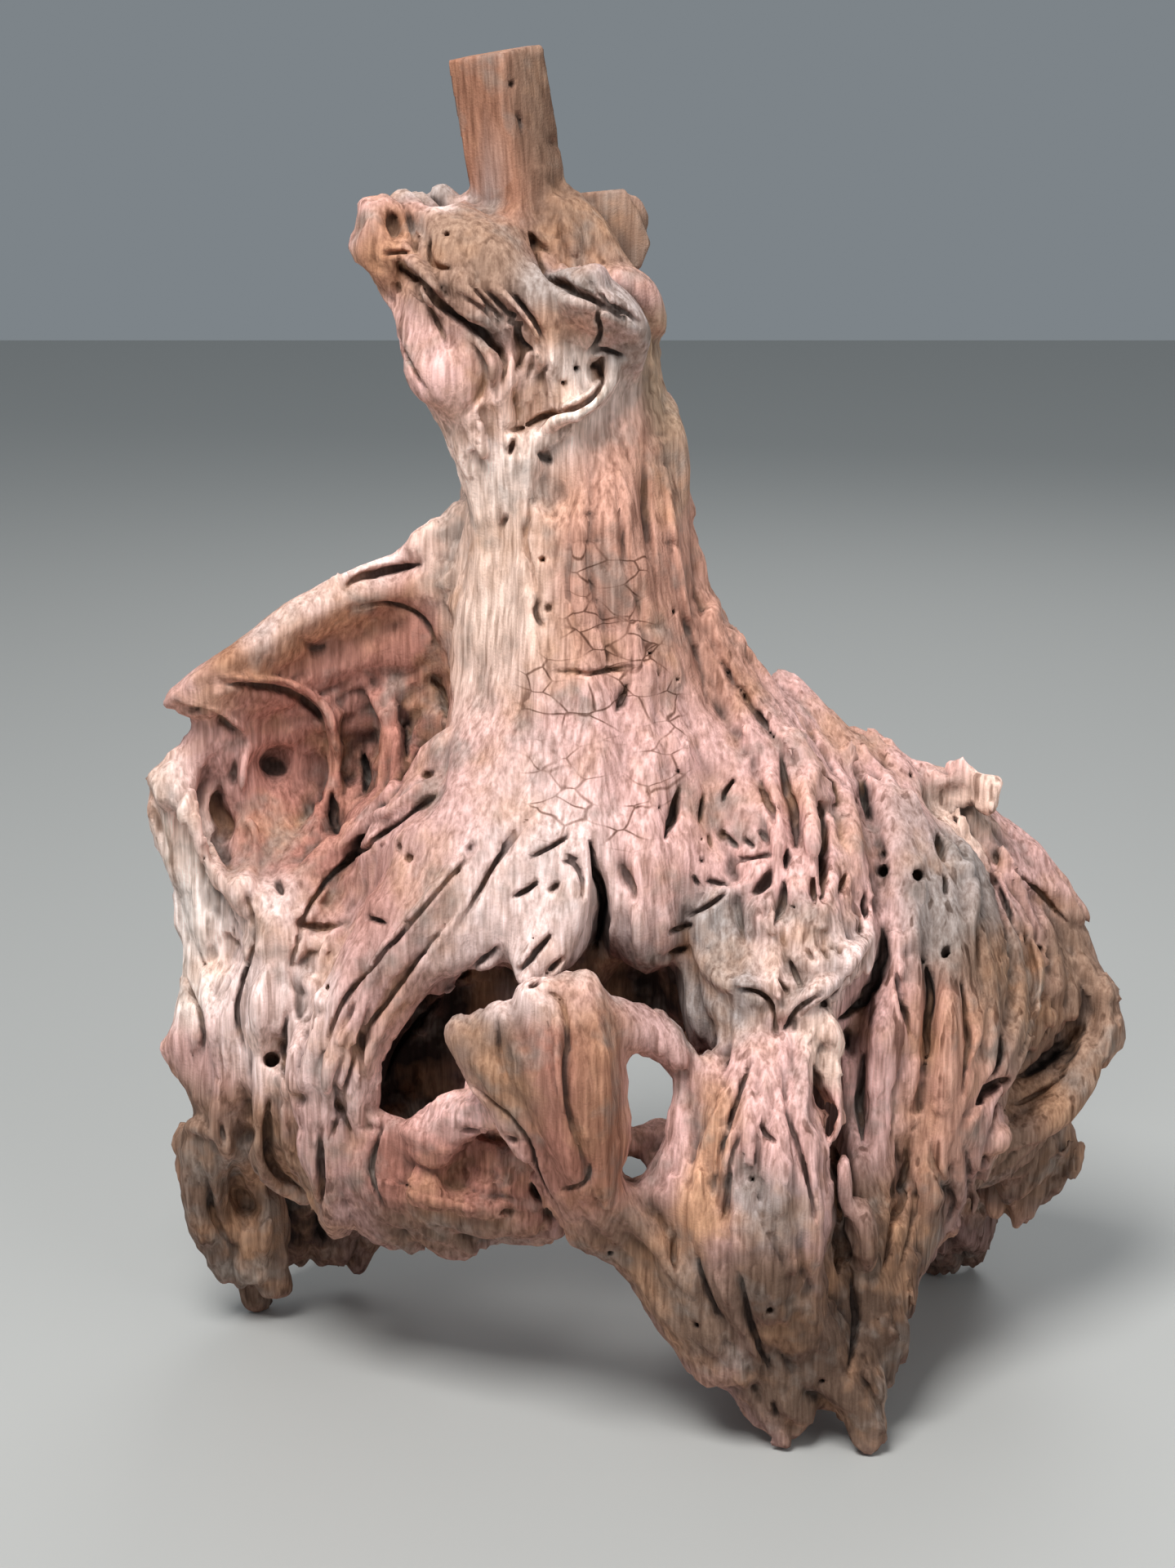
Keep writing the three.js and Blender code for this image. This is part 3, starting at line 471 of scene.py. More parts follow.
TILE = 128  # cells across the block of speckle that repeats
EDGE = 8  # cells that wrap round it while it is blurred
FIBRE_DEPTH = 4 * STEP  # how far from the surface the fibres reach
GRAIN_LEG = 12  # how far a fibre runs before it turns with the grain
# Width of the strands, their half length, and how high they stand
STRANDS = [(22, 144, 2.2), (11, 96, 2.0), (5, 48, 1.0)]


def lay_strands(random):
    """Rounded strands with sharp valleys between them, along the grain."""
    near = np.nonzero(np.abs(wood.values) < FIBRE_DEPTH)
    points = np.stack([wood.axes[n][near[n]] for n in range(3)], axis=1).astype(np.float32)
    _, rough = grain.nearest(points)
    for size, length, height in STRANDS:
        drawn, cell = fibres(random, size, length)
        strands = np.abs(between(drawn, (points - wood.low) / cell))
        wood.values[near] -= height * rough * (np.minimum(strands, 1.8) - 0.8)


# What the front shows. Cuts are (width, depth, pixels), ribs are (width, height, pixels) and holes are
# (u, v, radius in pixels, depth).

HEAD_CUTS = [
    (3, 5, [560, 360, 600, 385, 630, 420, 640, 455]),
    (3, 5, [620, 350, 648, 385, 672, 425, 676, 460]),
    (3.5, 5, [575, 420, 590, 445, 592, 480]),
    (2.2, 3, [634, 138, 638, 150, 641, 166]),
    (4, 4, [676, 170, 684, 180]),
    (8, 10, [478, 258, 484, 275, 482, 290]),
    (2.5, 4, [499, 258, 506, 287, 507, 302]),
    (3, 6, [468, 312, 486, 307, 506, 308]),
    (2.6, 8, [526, 294, 526, 317, 537, 326, 552, 327]),
    (6, 13, [484, 322, 531, 362, 551, 388, 571, 402, 598, 412, 616, 430, 620, 450, 614, 472]),
    (6, 9, [609, 363, 634, 394, 660, 422, 667, 445, 660, 465]),
    (3, 4, [632, 363, 654, 394, 662, 412]),
    (4, 8, [591, 350, 618, 380, 634, 407, 638, 434, 634, 456]),
    (3, 6, [575, 345, 600, 372, 620, 398]),
    (3, 5, [497, 345, 520, 372, 540, 402, 548, 425]),
    (4, 6, [634, 409, 649, 440, 647, 465]),
    (4, 4, [563, 514, 583, 491, 593, 468, 593, 455]),
    (2.5, 4, [487, 404, 491, 424, 507, 455, 522, 480]),
    (4, 8, [649, 284, 660, 299, 675, 307]),
    (5, 12, [650, 293, 672, 333, 695, 350, 725, 363, 742, 377, 768, 395]),
    (3, 6, [723, 343, 736, 363, 746, 376, 769, 383, 785, 399]),
    (2.2, 5, [739, 373, 731, 389, 736, 404, 726, 427, 718, 434]),
    (2.2, 5, [726, 429, 744, 429, 764, 437]),
    (4, 9, [621, 527, 638, 524, 658, 514, 682, 501, 705, 497, 725, 484, 735, 467, 733, 447, 742, 437]),
    (3, 6, [629, 539, 624, 557]),
    (3, 4, [680, 534, 694, 525, 708, 519]),
    (4, 6, [660, 554, 675, 565]),
]
HEAD_RIBS = [
    (28, 5, [555, 268, 590, 310, 625, 350, 640, 375]),
    (26, 5, [508, 385, 525, 440, 555, 490]),
    (20, 7, [668, 352, 715, 362, 760, 388, 778, 420]),
    (14, 6, [735, 335, 779, 350, 803, 395, 815, 455, 822, 530, 836, 610]),
    (9, 4, [736, 436, 749, 445, 744, 468, 723, 491, 685, 511, 660, 539]),
    (6, 2, [466, 258, 446, 290, 448, 320, 470, 335, 486, 325, 488, 308]),
    (8, 5, [491, 300, 514, 333, 537, 371, 568, 389, 609, 399, 626, 414, 626, 440]),
    (6, 4, [609, 353, 634, 386, 654, 412, 670, 440, 670, 465]),
    (12, 5, [540, 335, 558, 343, 593, 373, 612, 380]),
    (7, 4, [600, 345, 628, 380, 648, 410, 654, 440, 648, 466]),
    (6, 3, [580, 420, 600, 440, 598, 470, 580, 500]),
    (12, 5, [690, 365, 731, 370, 769, 390, 785, 412, 782, 435]),
    (8, 5, [736, 432, 749, 440, 744, 465, 723, 491, 685, 511, 660, 539]),
    (6, 2.5, [715, 505, 690, 525, 665, 548, 655, 565]),
    (12, 5, [721, 338, 749, 338, 779, 353, 797, 376, 813, 414, 818, 440]),
]
HEAD_HOLES = [(627, 103, 4, 4), (547, 285, 4, 6), (690, 469, 4, 5), (705, 451, 4, 5), (728, 449, 5, 5)]

TRUNK_CUTS = [
    (12, 5, [680, 585, 684, 605, 688, 618]),
    (3, 3.5, [658, 591, 648, 629, 642, 662, 653, 703, 658, 739]),
    (3, 2.5, [696, 617, 698, 665, 694, 719, 706, 780, 712, 815]),
    (3, 2, [724, 560, 724, 630, 722, 700, 738, 760, 744, 810]),
    (3, 2.5, [757, 586, 762, 640, 765, 683, 782, 740, 792, 800]),
    (6, 6, [790, 560, 792, 610, 797, 683]),
    (4, 4, [812, 560, 818, 640, 826, 700, 840, 760, 860, 820, 868, 870]),
    (3, 4, [662, 733, 657, 745, 660, 760, 668, 768]),
    (2, 3, [612, 650, 617, 640, 622, 629]),
    (4, 5, [768, 835, 762, 855, 756, 872]),
    (2.2, 3, [670, 824, 700, 823, 722, 825, 744, 821, 782, 816]),
]
# Short cracks across the trunk, from one pixel to another
TRUNK_CHECKS = [
    (672, 629, 694, 629), (708, 631, 742, 628), (706, 664, 759, 660), (799, 531, 822, 532),
    (797, 566, 822, 569), (805, 661, 839, 671), (725, 696, 762, 694), (690, 731, 730, 735),
    (700, 766, 760, 771), (780, 771, 822, 765),
]
TRUNK_CUTS += [(2, 1, pixels) for pixels in TRUNK_CHECKS]
TRUNK_RIBS = [
    (10, 3, [708, 600, 710, 680, 706, 760]),
    (10, 3, [742, 590, 744, 680, 752, 760]),
    (9, 3.5, [776, 590, 783, 690, 797, 780]),
    (9, 4, [805, 540, 815, 620, 830, 720, 850, 790]),
    (9, 2.5, [672, 640, 674, 700, 684, 790]),
    (8, 4, [862, 728, 872, 745, 866, 765]),
    (8, 3, [893, 775, 905, 790, 898, 806]),
    (5, 2, [684, 585, 698, 586, 704, 592]),
]
TRUNK_HOLES = [
    (664, 685, 4, 6), (826, 749, 4, 6), (797, 799, 3, 6), (807, 826, 3, 6), (830, 832, 3, 6),
    (672, 745, 6, 4),
]

CAPE_CUTS = [
    (2.5, 5, [694, 1020, 690, 1027, 661, 1044, 646, 1051]),
    (5, 16, [724, 1030, 731, 1066, 738, 1102, 736, 1139, 728, 1163]),
    (5, 12, [833, 964, 825, 996, 816, 1027]),
    (3, 8, [862, 974, 857, 1008]),
    (6, 6, [760, 1055, 772, 1090, 778, 1110]),
    (3, 5, [685, 1054, 704, 1059, 714, 1078, 714, 1102]),
    (3, 7, [630, 1098, 645, 1090, 658, 1080]),
    (4, 9, [675, 1144, 651, 1173, 627, 1194]),
    (3, 7, [690, 1173, 665, 1197, 646, 1209]),
    (5, 6, [570, 1046, 578, 1030]),
    (3, 5, [673, 1091, 684, 1081]),
    (2.5, 4, [694, 1047, 707, 1054]),
    (2, 3, [663, 981, 627, 1030, 600, 1066, 578, 1114]),
    (2, 3, [640, 1000, 596, 1075, 560, 1140]),
]
CAPE_RIBS = [
    (7, 3, [745, 1035, 752, 1100, 750, 1170]),
    (6, 4, [775, 1030, 780, 1100, 782, 1190]),
    (6, 2, [532, 1222, 568, 1196, 602, 1179, 619, 1184]),
    (6, 1.5, [560, 1000, 545, 1080, 500, 1180]),
    (6, 1.2, [610, 1080, 560, 1150, 520, 1210]),
]
CAPE_HOLES = [(808, 989, 3, 5), (830, 945, 3, 5), (651, 1148, 3, 5), (561, 1067, 3, 5)]

WING_CUTS = [
    (6, 10, [422, 720, 438, 707, 480, 698, 516, 691]),
    (5, 7, [270, 838, 317, 842, 349, 848, 380, 866, 392, 885, 400, 920]),
    (5, 6, [225, 866, 262, 880, 290, 897]),
    (6, 6, [290, 920, 282, 960, 284, 1010]),
    (10, 9, [322, 932, 348, 943]),
    (5, 9, [443, 921, 448, 955, 446, 970]),
    (6, 9, [406, 969, 409, 1000, 411, 1021]),
    (5, 10, [529, 830, 540, 850, 545, 880]),
    (3, 5, [505, 885, 500, 905, 500, 930]),
    (6, 8, [515, 950, 528, 940]),
    (7, 8, [505, 990, 530, 972]),
    (12, 16, [266, 960, 273, 1010, 285, 1062]),
    (6, 6, [178, 965, 188, 1000, 200, 1040]),
    (3, 4, [430, 745, 480, 740, 520, 760, 538, 800]),
    (4, 4, [365, 780, 385, 795, 400, 790]),
]
WING_RIBS = [
    (5, 5, [268, 828, 317, 832, 352, 837, 388, 856, 401, 870, 408, 895, 414, 927, 411, 955]),
    (5, 4, [213, 853, 255, 869, 281, 880, 302, 898, 305, 915]),
    (7, 7, [303, 914, 294, 945, 292, 974, 296, 1000, 309, 1018, 312, 1052]),
    (5, 4, [440, 822, 461, 859, 474, 885, 472, 915, 468, 950, 464, 980]),
    (6, 4, [482, 869, 487, 935, 480, 969, 448, 1000, 420, 1030, 398, 1052]),
    (5, 4, [534, 935, 516, 961, 490, 985, 464, 1000, 438, 1015, 405, 1050]),
    (7, 3, [186, 950, 200, 985, 207, 1030, 213, 1080]),
    (4, 2, [385, 960, 390, 1000, 380, 1050]),
]
WING_HOLES = [(487, 1037, 7, 5), (500, 1050, 7, 5), (497, 651, 6, 6)]

LEFT_CUTS = [
    (3, 6, [448, 1123, 472, 1131]),
    (5, 7, [411, 1264, 423, 1243, 435, 1225]),
    (3, 4, [221, 1183, 247, 1251, 249, 1290]),
    (8, 8, [325, 1300, 340, 1295]),
    (4, 6, [271, 1374, 274, 1406]),
    (7, 12, [330, 1345, 330, 1404, 346, 1441, 388, 1470]),
    (3, 6, [536, 973, 449, 1036, 385, 1100, 355, 1185]),
    (3, 6, [586, 1036, 499, 1135, 424, 1222, 387, 1309]),
    (3, 6, [560, 1110, 500, 1190, 452, 1260, 424, 1330, 404, 1400]),
    (3, 6, [610, 1160, 545, 1215, 490, 1280, 466, 1345]),
    (3, 5, [300, 1080, 310, 1150, 290, 1230, 300, 1290]),
    (3, 5, [470, 1370, 455, 1430, 470, 1480]),
    (6, 10, [390, 1385, 391, 1457, 388, 1495, 399, 1521]),
    (4, 6, [360, 1128, 390, 1135, 425, 1128]),
    (4, 7, [338, 1075, 345, 1095]),
    (8, 5, [295, 1330, 305, 1370, 300, 1410]),
    (13, 14, [288, 1422, 298, 1470, 312, 1512]),
    (5, 7, [250, 1440, 262, 1490, 285, 1530]),
    (4, 6, [420, 1290, 412, 1340, 430, 1390]),
    (4, 6, [455, 1230, 440, 1290, 448, 1330]),
    (4, 6, [352, 1240, 345, 1290, 350, 1340]),
]
LEFT_RIBS = [
    (13, 6, [395, 1385, 398, 1440, 410, 1510]),
    (9, 4, [250, 1190, 262, 1250, 268, 1310]),
    (8, 4, [330, 1180, 318, 1230, 322, 1290]),
    (7, 3, [600, 1010, 520, 1110, 450, 1200, 404, 1290]),
    (7, 3, [590, 1080, 530, 1160, 475, 1240, 440, 1320]),
    (8, 4, [380, 1240, 362, 1300, 366, 1370]),
    (7, 3, [440, 1150, 418, 1220, 404, 1290, 400, 1350]),
    (6, 3, [480, 1140, 455, 1200, 440, 1260]),
    (9, 4, [427, 1008, 377, 1065, 359, 1091, 343, 1125]),
    (8, 3, [370, 1190, 385, 1210, 400, 1230]),
    (10, 5, [270, 1330, 268, 1370, 285, 1420, 290, 1470]),
    (11, 5, [330, 1330, 322, 1380, 335, 1440, 380, 1475]),
    (7, 3, [289, 1545, 310, 1565, 329, 1560]),
    (8, 5, [226, 1390, 242, 1378, 262, 1390]),
    (8, 4, [255, 1405, 262, 1450, 272, 1500]),
    (8, 4, [322, 1440, 326, 1490, 322, 1540]),
]
LEFT_HOLES = [(400, 1208, 4, 6), (495, 1131, 5, 6), (333, 1298, 10, 9)]

BEAK_CUTS = [
    (4, 6, [662, 1210, 691, 1236, 696, 1349, 712, 1411, 717, 1438]),
    (3, 4, [678, 1236, 673, 1296, 683, 1359]),
    (3, 4, [607, 1244, 613, 1296, 623, 1328]),
    (2.5, 4, [683, 1459, 717, 1448, 722, 1425]),
    (3, 5, [565, 1320, 592, 1341, 623, 1367, 647, 1401, 662, 1443, 691, 1495]),
    (4, 6, [565, 1385, 600, 1390, 633, 1398]),
    (8, 14, [650, 1450, 672, 1490, 688, 1512]),
]
BEAK_RIBS = [
    (8, 4, [648, 1215, 673, 1250, 688, 1334, 704, 1428]),
    (6, 3, [612, 1232, 630, 1275, 655, 1330]),
    (5, 2.5, [582, 1250, 598, 1290, 622, 1332]),
    (7, 3, [560, 1255, 598, 1322, 645, 1384, 679, 1459]),
    (8, 3, [712, 1205, 735, 1290, 738, 1380, 735, 1450]),
]
LEG_CUTS = [
    (3, 4, [908, 1385, 894, 1427, 889, 1481, 881, 1497]),
    (3, 4, [935, 1369, 935, 1385, 951, 1401]),
    (4, 9, [854, 1540, 862, 1575, 881, 1612]),
    (4, 8, [825, 1511, 828, 1556]),
    (3, 5, [946, 1716, 951, 1737]),
    (9, 20, [1000, 1305, 1014, 1365, 1022, 1430, 1028, 1500, 1033, 1562]),
    (3, 4, [920, 1300, 905, 1340, 885, 1400, 872, 1460]),
    (3, 4, [960, 1300, 965, 1360, 985, 1430, 1000, 1500]),
]
LEG_RIBS = [
    (6, 2.5, [897, 1326, 876, 1374, 862, 1414, 854, 1468, 844, 1502]),
    (12, 6, [996, 1248, 1022, 1276, 1040, 1320, 1047, 1369, 1053, 1428, 1056, 1481, 1062, 1550]),
]
LEG_HOLES = [
    (921, 1444, 4, 6), (852, 1623, 4, 6), (712, 1535, 4, 6), (747, 1535, 4, 6), (943, 1606, 5, 6),
    (1007, 1692, 4, 5),
]

RIGHT_CUTS = [
    (2.5, 6, [899, 955, 887, 971, 886, 984]),
    (5, 10, [927, 955, 938, 976, 946, 1011]),
    (6, 12, [957, 925, 962, 957, 970, 990, 975, 1022, 975, 1038]),
    (4, 9, [966, 1040, 963, 1065]),
    (6, 14, [1005, 982, 1010, 1008, 1011, 1040, 1010, 1070, 1009, 1102]),
    (3, 7, [1007, 944, 1021, 960, 1025, 987]),
    (4, 10, [1053, 949, 1058, 974, 1064, 1003]),
    (4, 10, [994, 1073, 997, 1107]),
    (4, 9, [1037, 1070, 1029, 1097]),
    (5, 10, [1062, 1091, 1061, 1126]),
    (5, 10, [959, 1078, 957, 1113, 951, 1134]),
    (4, 6, [940, 1102, 935, 1124]),
    (7, 12, [946, 1062, 935, 1081, 919, 1094]),
    (4, 5, [903, 1102, 906, 1134, 911, 1156]),
    (7, 14, [1082, 1134, 1080, 1169, 1069, 1204, 1048, 1236, 1024, 1252]),
    (2.5, 6, [1040, 1196, 1018, 1223]),
    (3, 6, [1010, 1215, 978, 1236, 959, 1263]),
    (3, 8, [898, 1212, 927, 1215, 943, 1228, 951, 1266]),
    (3, 7, [965, 1174, 981, 1207]),
    (2.5, 5, [954, 1199, 967, 1217]),
    (2.5, 5, [1007, 1161, 1014, 1173]),
    (2.5, 5, [1029, 1156, 1028, 1168]),
    (3, 5, [986, 1161, 997, 1177]),
    (3, 6, [1157, 1070, 1159, 1097]),
    (4, 8, [1216, 1040, 1219, 1059]),
    (5, 12, [1131, 1172, 1139, 1212, 1136, 1268, 1133, 1308]),
    (4, 8, [1096, 1188, 1109, 1236, 1117, 1274]),
    (3, 5, [1198, 1124, 1200, 1188]),
    (3, 6, [1227, 1263, 1222, 1303, 1204, 1347]),
    (4, 6, [1163, 1158, 1155, 1172]),
    (6, 12, [1150, 1019, 1157, 1054]),
    (14, 8, [1142, 985, 1168, 972, 1196, 975]),
    (3, 6, [841, 1121, 874, 1105, 892, 1091]),
    (3, 5, [820, 1142, 847, 1132]),
    (4, 8, [820, 1169, 844, 1161]),
    (2.5, 4, [884, 1016, 884, 1027]),
    (2.5, 4, [887, 1022, 903, 1038]),
    (2.5, 4, [911, 1027, 924, 1038]),
    (2.5, 4, [900, 1054, 927, 1049, 946, 1046]),
    (2.5, 4, [849, 1073, 857, 1086]),
    (2.5, 4, [865, 1078, 895, 1083]),
    (2.5, 4, [930, 1016, 940, 1030]),
    (3, 4, [868, 1020, 872, 1038]),
    (7, 14, [1196, 1355, 1222, 1330, 1263, 1312, 1293, 1289, 1319, 1258]),
    (3, 6, [1245, 1352, 1275, 1337, 1306, 1312]),
    (4, 6, [1099, 1393, 1107, 1444, 1122, 1470]),
    (5, 10, [1098, 1442, 1102, 1475]),
    (4, 5, [1139, 1390, 1142, 1427, 1166, 1468, 1158, 1505]),
    (4, 5, [1184, 1406, 1190, 1460, 1176, 1492]),
    (4, 5, [1101, 1411, 1120, 1468, 1117, 1508, 1101, 1561]),
    (5, 4, [1285, 1420, 1300, 1425, 1300, 1440, 1285, 1445]),
    (5, 12, [1056, 1290, 1052, 1350, 1058, 1400]),
    (4, 8, [1178, 1200, 1186, 1270, 1180, 1340]),
    (4, 7, [1258, 1140, 1268, 1200, 1262, 1260]),
    (4, 8, [1215, 1075, 1235, 1110, 1252, 1150]),
    (3, 6, [1240, 1060, 1275, 1095, 1305, 1130]),
    (5, 9, [1112, 1400, 1100, 1480, 1082, 1560]),
    (4, 8, [1040, 1560, 1048, 1620, 1040, 1680]),
    (4, 7, [905, 1560, 918, 1620, 945, 1680]),
]
RIGHT_RIBS = [
    (11, 6, [970, 1177, 1007, 1177, 1048, 1161, 1069, 1140]),
    (9, 5, [940, 1250, 985, 1225, 1030, 1190, 1062, 1150]),
    (9, 4, [850, 1160, 862, 1120, 885, 1095, 915, 1085]),
    (8, 3, [850, 1160, 870, 1190, 895, 1205, 935, 1205]),
    (8, 4, [991, 1247, 1008, 1244, 1018, 1266, 1034, 1295, 1042, 1322]),
    (8, 4, [942, 940, 952, 990, 955, 1060]),
    (9, 4, [985, 950, 992, 1020, 1000, 1060]),
    (11, 4, [1035, 960, 1042, 1020, 1048, 1080]),
    (13, 4.5, [1085, 950, 1096, 1040, 1100, 1120, 1096, 1190]),
    (9, 5, [1118, 1120, 1120, 1180, 1122, 1260, 1114, 1350]),
    (11, 5, [1152, 1150, 1160, 1260, 1152, 1380, 1150, 1460]),
    (9, 4, [1180, 1040, 1190, 1090, 1185, 1150]),
    (9, 5, [1225, 1080, 1240, 1160, 1245, 1240, 1225, 1320]),
    (10, 4.5, [1200, 1130, 1212, 1220, 1204, 1320, 1180, 1400]),
    (16, 7, [1336, 1255, 1328, 1309, 1302, 1352, 1262, 1381, 1208, 1396]),
    (12, 5, [1072, 1180, 1080, 1260, 1072, 1340, 1080, 1430]),
    (10, 4, [1275, 1120, 1292, 1190, 1290, 1250]),
    (9, 4, [1170, 1400, 1172, 1450, 1160, 1510]),
]
RIGHT_HOLES = [
    (1081, 1067, 7, 10), (1125, 1071, 8, 14), (971, 1111, 3, 5), (1081, 1046, 4, 5), (860, 1027, 3, 4),
    (860, 1054, 4, 4), (1158, 1169, 6, 7), (1256, 1151, 6, 7), (1273, 1162, 6, 7), (1117, 949, 4, 6),
]

CUTS = HEAD_CUTS + TRUNK_CUTS + CAPE_CUTS + WING_CUTS + LEFT_CUTS + BEAK_CUTS + LEG_CUTS + RIGHT_CUTS
RIBS = HEAD_RIBS + TRUNK_RIBS + CAPE_RIBS + WING_RIBS + LEFT_RIBS + BEAK_RIBS + LEG_RIBS + RIGHT_RIBS
HOLES = HEAD_HOLES + TRUNK_HOLES + CAPE_HOLES + WING_HOLES + LEFT_HOLES + LEG_HOLES + RIGHT_HOLES

# Wood added to the CAD model: a blend, and pixels with the depth of the new face and its radius. It closes
# the wing's bowl below, and makes lobes of the left foot, a toe, the head's knob and wood under its chin.
FILLS = [
    (14, [(300, 1000, -3, 22), (320, 1040, -12, 22), (340, 1080, -22, 20), (350, 1120, -34, 18)]),
    (14, [(350, 1010, 2, 22), (380, 1060, -8, 22), (400, 1110, -18, 20), (410, 1150, -34, 16)]),
    (12, [(430, 1060, -8, 20), (450, 1100, -20, 18), (450, 1140, -45, 16)]),
    (7, [(545, 922, -34, 8), (505, 968, -26, 8), (455, 1005, -20, 8), (408, 1048, -20, 8),
         (370, 1100, -30, 9), (345, 1140, -40, 9)]),
    (6, [(478, 850, 3, 6), (487, 935, -4, 6), (478, 970, -10, 6), (448, 1000, -14, 7)]),
    (10, [(520, 985, -46, 12), (482, 1030, -42, 12), (452, 1080, -36, 12)]),
    (8, [(500, 925, -2, 12), (470, 960, 3, 14), (440, 1000, -2, 14)]),
    (7, [(236, 1395, 0, 9), (252, 1445, -2, 12), (272, 1500, 2, 12), (292, 1555, 8, 10)]),
    (5, [(322, 1470, 4, 12), (330, 1530, 8, 10), (334, 1572, 12, 8)]),
    (6, [(925, 1690, -112, 9), (945, 1722, -115, 10), (962, 1748, -115, 8)]),
    (6, [(470, 272, -20, 11), (462, 305, -24, 11), (478, 325, -28, 9)]),
    (6, [(500, 268, -16, 12), (505, 300, -24, 12)]),
    (14, [(570, 455, -44, 16), (595, 500, -42, 16), (612, 550, -39, 15), (618, 620, -37, 12),
         (620, 700, -32, 8)]),
    (6, [(400, 860, 0, 4), (412, 925, 3, 5), (405, 990, 0, 6), (370, 1060, -8, 7),
         (345, 1110, -28, 8)]),
]


def at_depth(u, v, depth):
    ray = view_ray(u, v)
    return EYE + ray * (depth - EYE[1]) / ray[1]


def fill(blend, rows):
    places = np.array([at_depth(u, v, depth + radius) for u, v, depth, radius in rows])
    wood.sculpt([(places, np.array([float(row[3]) for row in rows]))], blend, grows=True)


# The whittled peg, put back with crisp edges: its outline round its axis, its foot as a pixel at a depth
PEG_SECTION = [[1, -20], [21, -3], [13, 19], [-13, 17], [-20, -4]]
PEG_FOOT = (644, 290)
PEG_DEPTH = 5.12
PEG_LENGTH = 78
PEG_LEAN = math.radians(-9.5)


def add_peg():
    foot = at_depth(*PEG_FOOT, PEG_DEPTH)
    block = wood.block(foot - 40, foot + PEG_LENGTH + 10)
    x, y, z = wood.offsets(block, foot)
    across = x * math.cos(PEG_LEAN) - z * math.sin(PEG_LEAN)
    along = x * math.sin(PEG_LEAN) + z * math.cos(PEG_LEAN)
    peg = np.maximum(along - PEG_LENGTH, -along)
    for (ax, ay), (bx, by) in zip(PEG_SECTION, PEG_SECTION[1:] + PEG_SECTION[:1]):
        length = math.hypot(bx - ax, by - ay)
        peg = np.maximum(peg, ((across - ax) * (by - ay) - (y - ay) * (bx - ax)) / length)
    wood.values[block] = np.minimum(wood.values[block], peg)


# The sawn slab behind the peg: its corners as pixels, and the depths of its two faces
SLAB = [(690, 238), (765, 231), (782, 260), (797, 298), (784, 330), (700, 332)]
SLAB_FACES = (9, 28)


def add_slab():
    corners = np.array([at_depth(u, v, depth) for u, v in SLAB for depth in SLAB_FACES])
    block = wood.block(corners.min(axis=0) - 6, corners.max(axis=0) + 6)
    x, y, z = wood.offsets(block, EYE)
    ahead = y * FORWARD[1] + z * FORWARD[2]
    u = PHOTO_CENTRE[0] + FOCAL * x / ahead
    v = PHOTO_CENTRE[1] - FOCAL * (y * UPWARD[1] + z * UPWARD[2]) / ahead
    slab = np.maximum(SLAB_FACES[0] - y - EYE[1], y + EYE[1] - SLAB_FACES[1])
    for (au, av), (bu, bv) in zip(SLAB, SLAB[1:] + SLAB[:1]):
        outside = ((bv - av) * (u - au) - (bu - au) * (v - av)) / math.hypot(bu - au, bv - av)
        slab = np.maximum(slab, outside * ahead / FOCAL)
    wood.values[block] = np.minimum(wood.values[block], slab)


LUMPS = [(38, 1.6), (17, 0.8)]  # size and height of the lumps under the strands
random = np.random.default_rng(7)
for scale, height in LUMPS:
    wood.roughen(random, scale, height)
for blend, rows in FILLS:
    fill(blend, rows)
lay_strands(random)
add_peg()
add_slab()
for width, height, pixels in RIBS:
    raise_rib(pixels, width, height)
for width, depth, pixels in CUTS:
    cut(pixels, width, depth)
for u, v, radius, depth in HOLES:
    dent(u, v, radius, depth)
wood.values = np.maximum(wood.values, -wood.axes[2])  # flat feet


# Colours: patches along lines of pixels on the front and the back, as (reach, pixels) under their colour

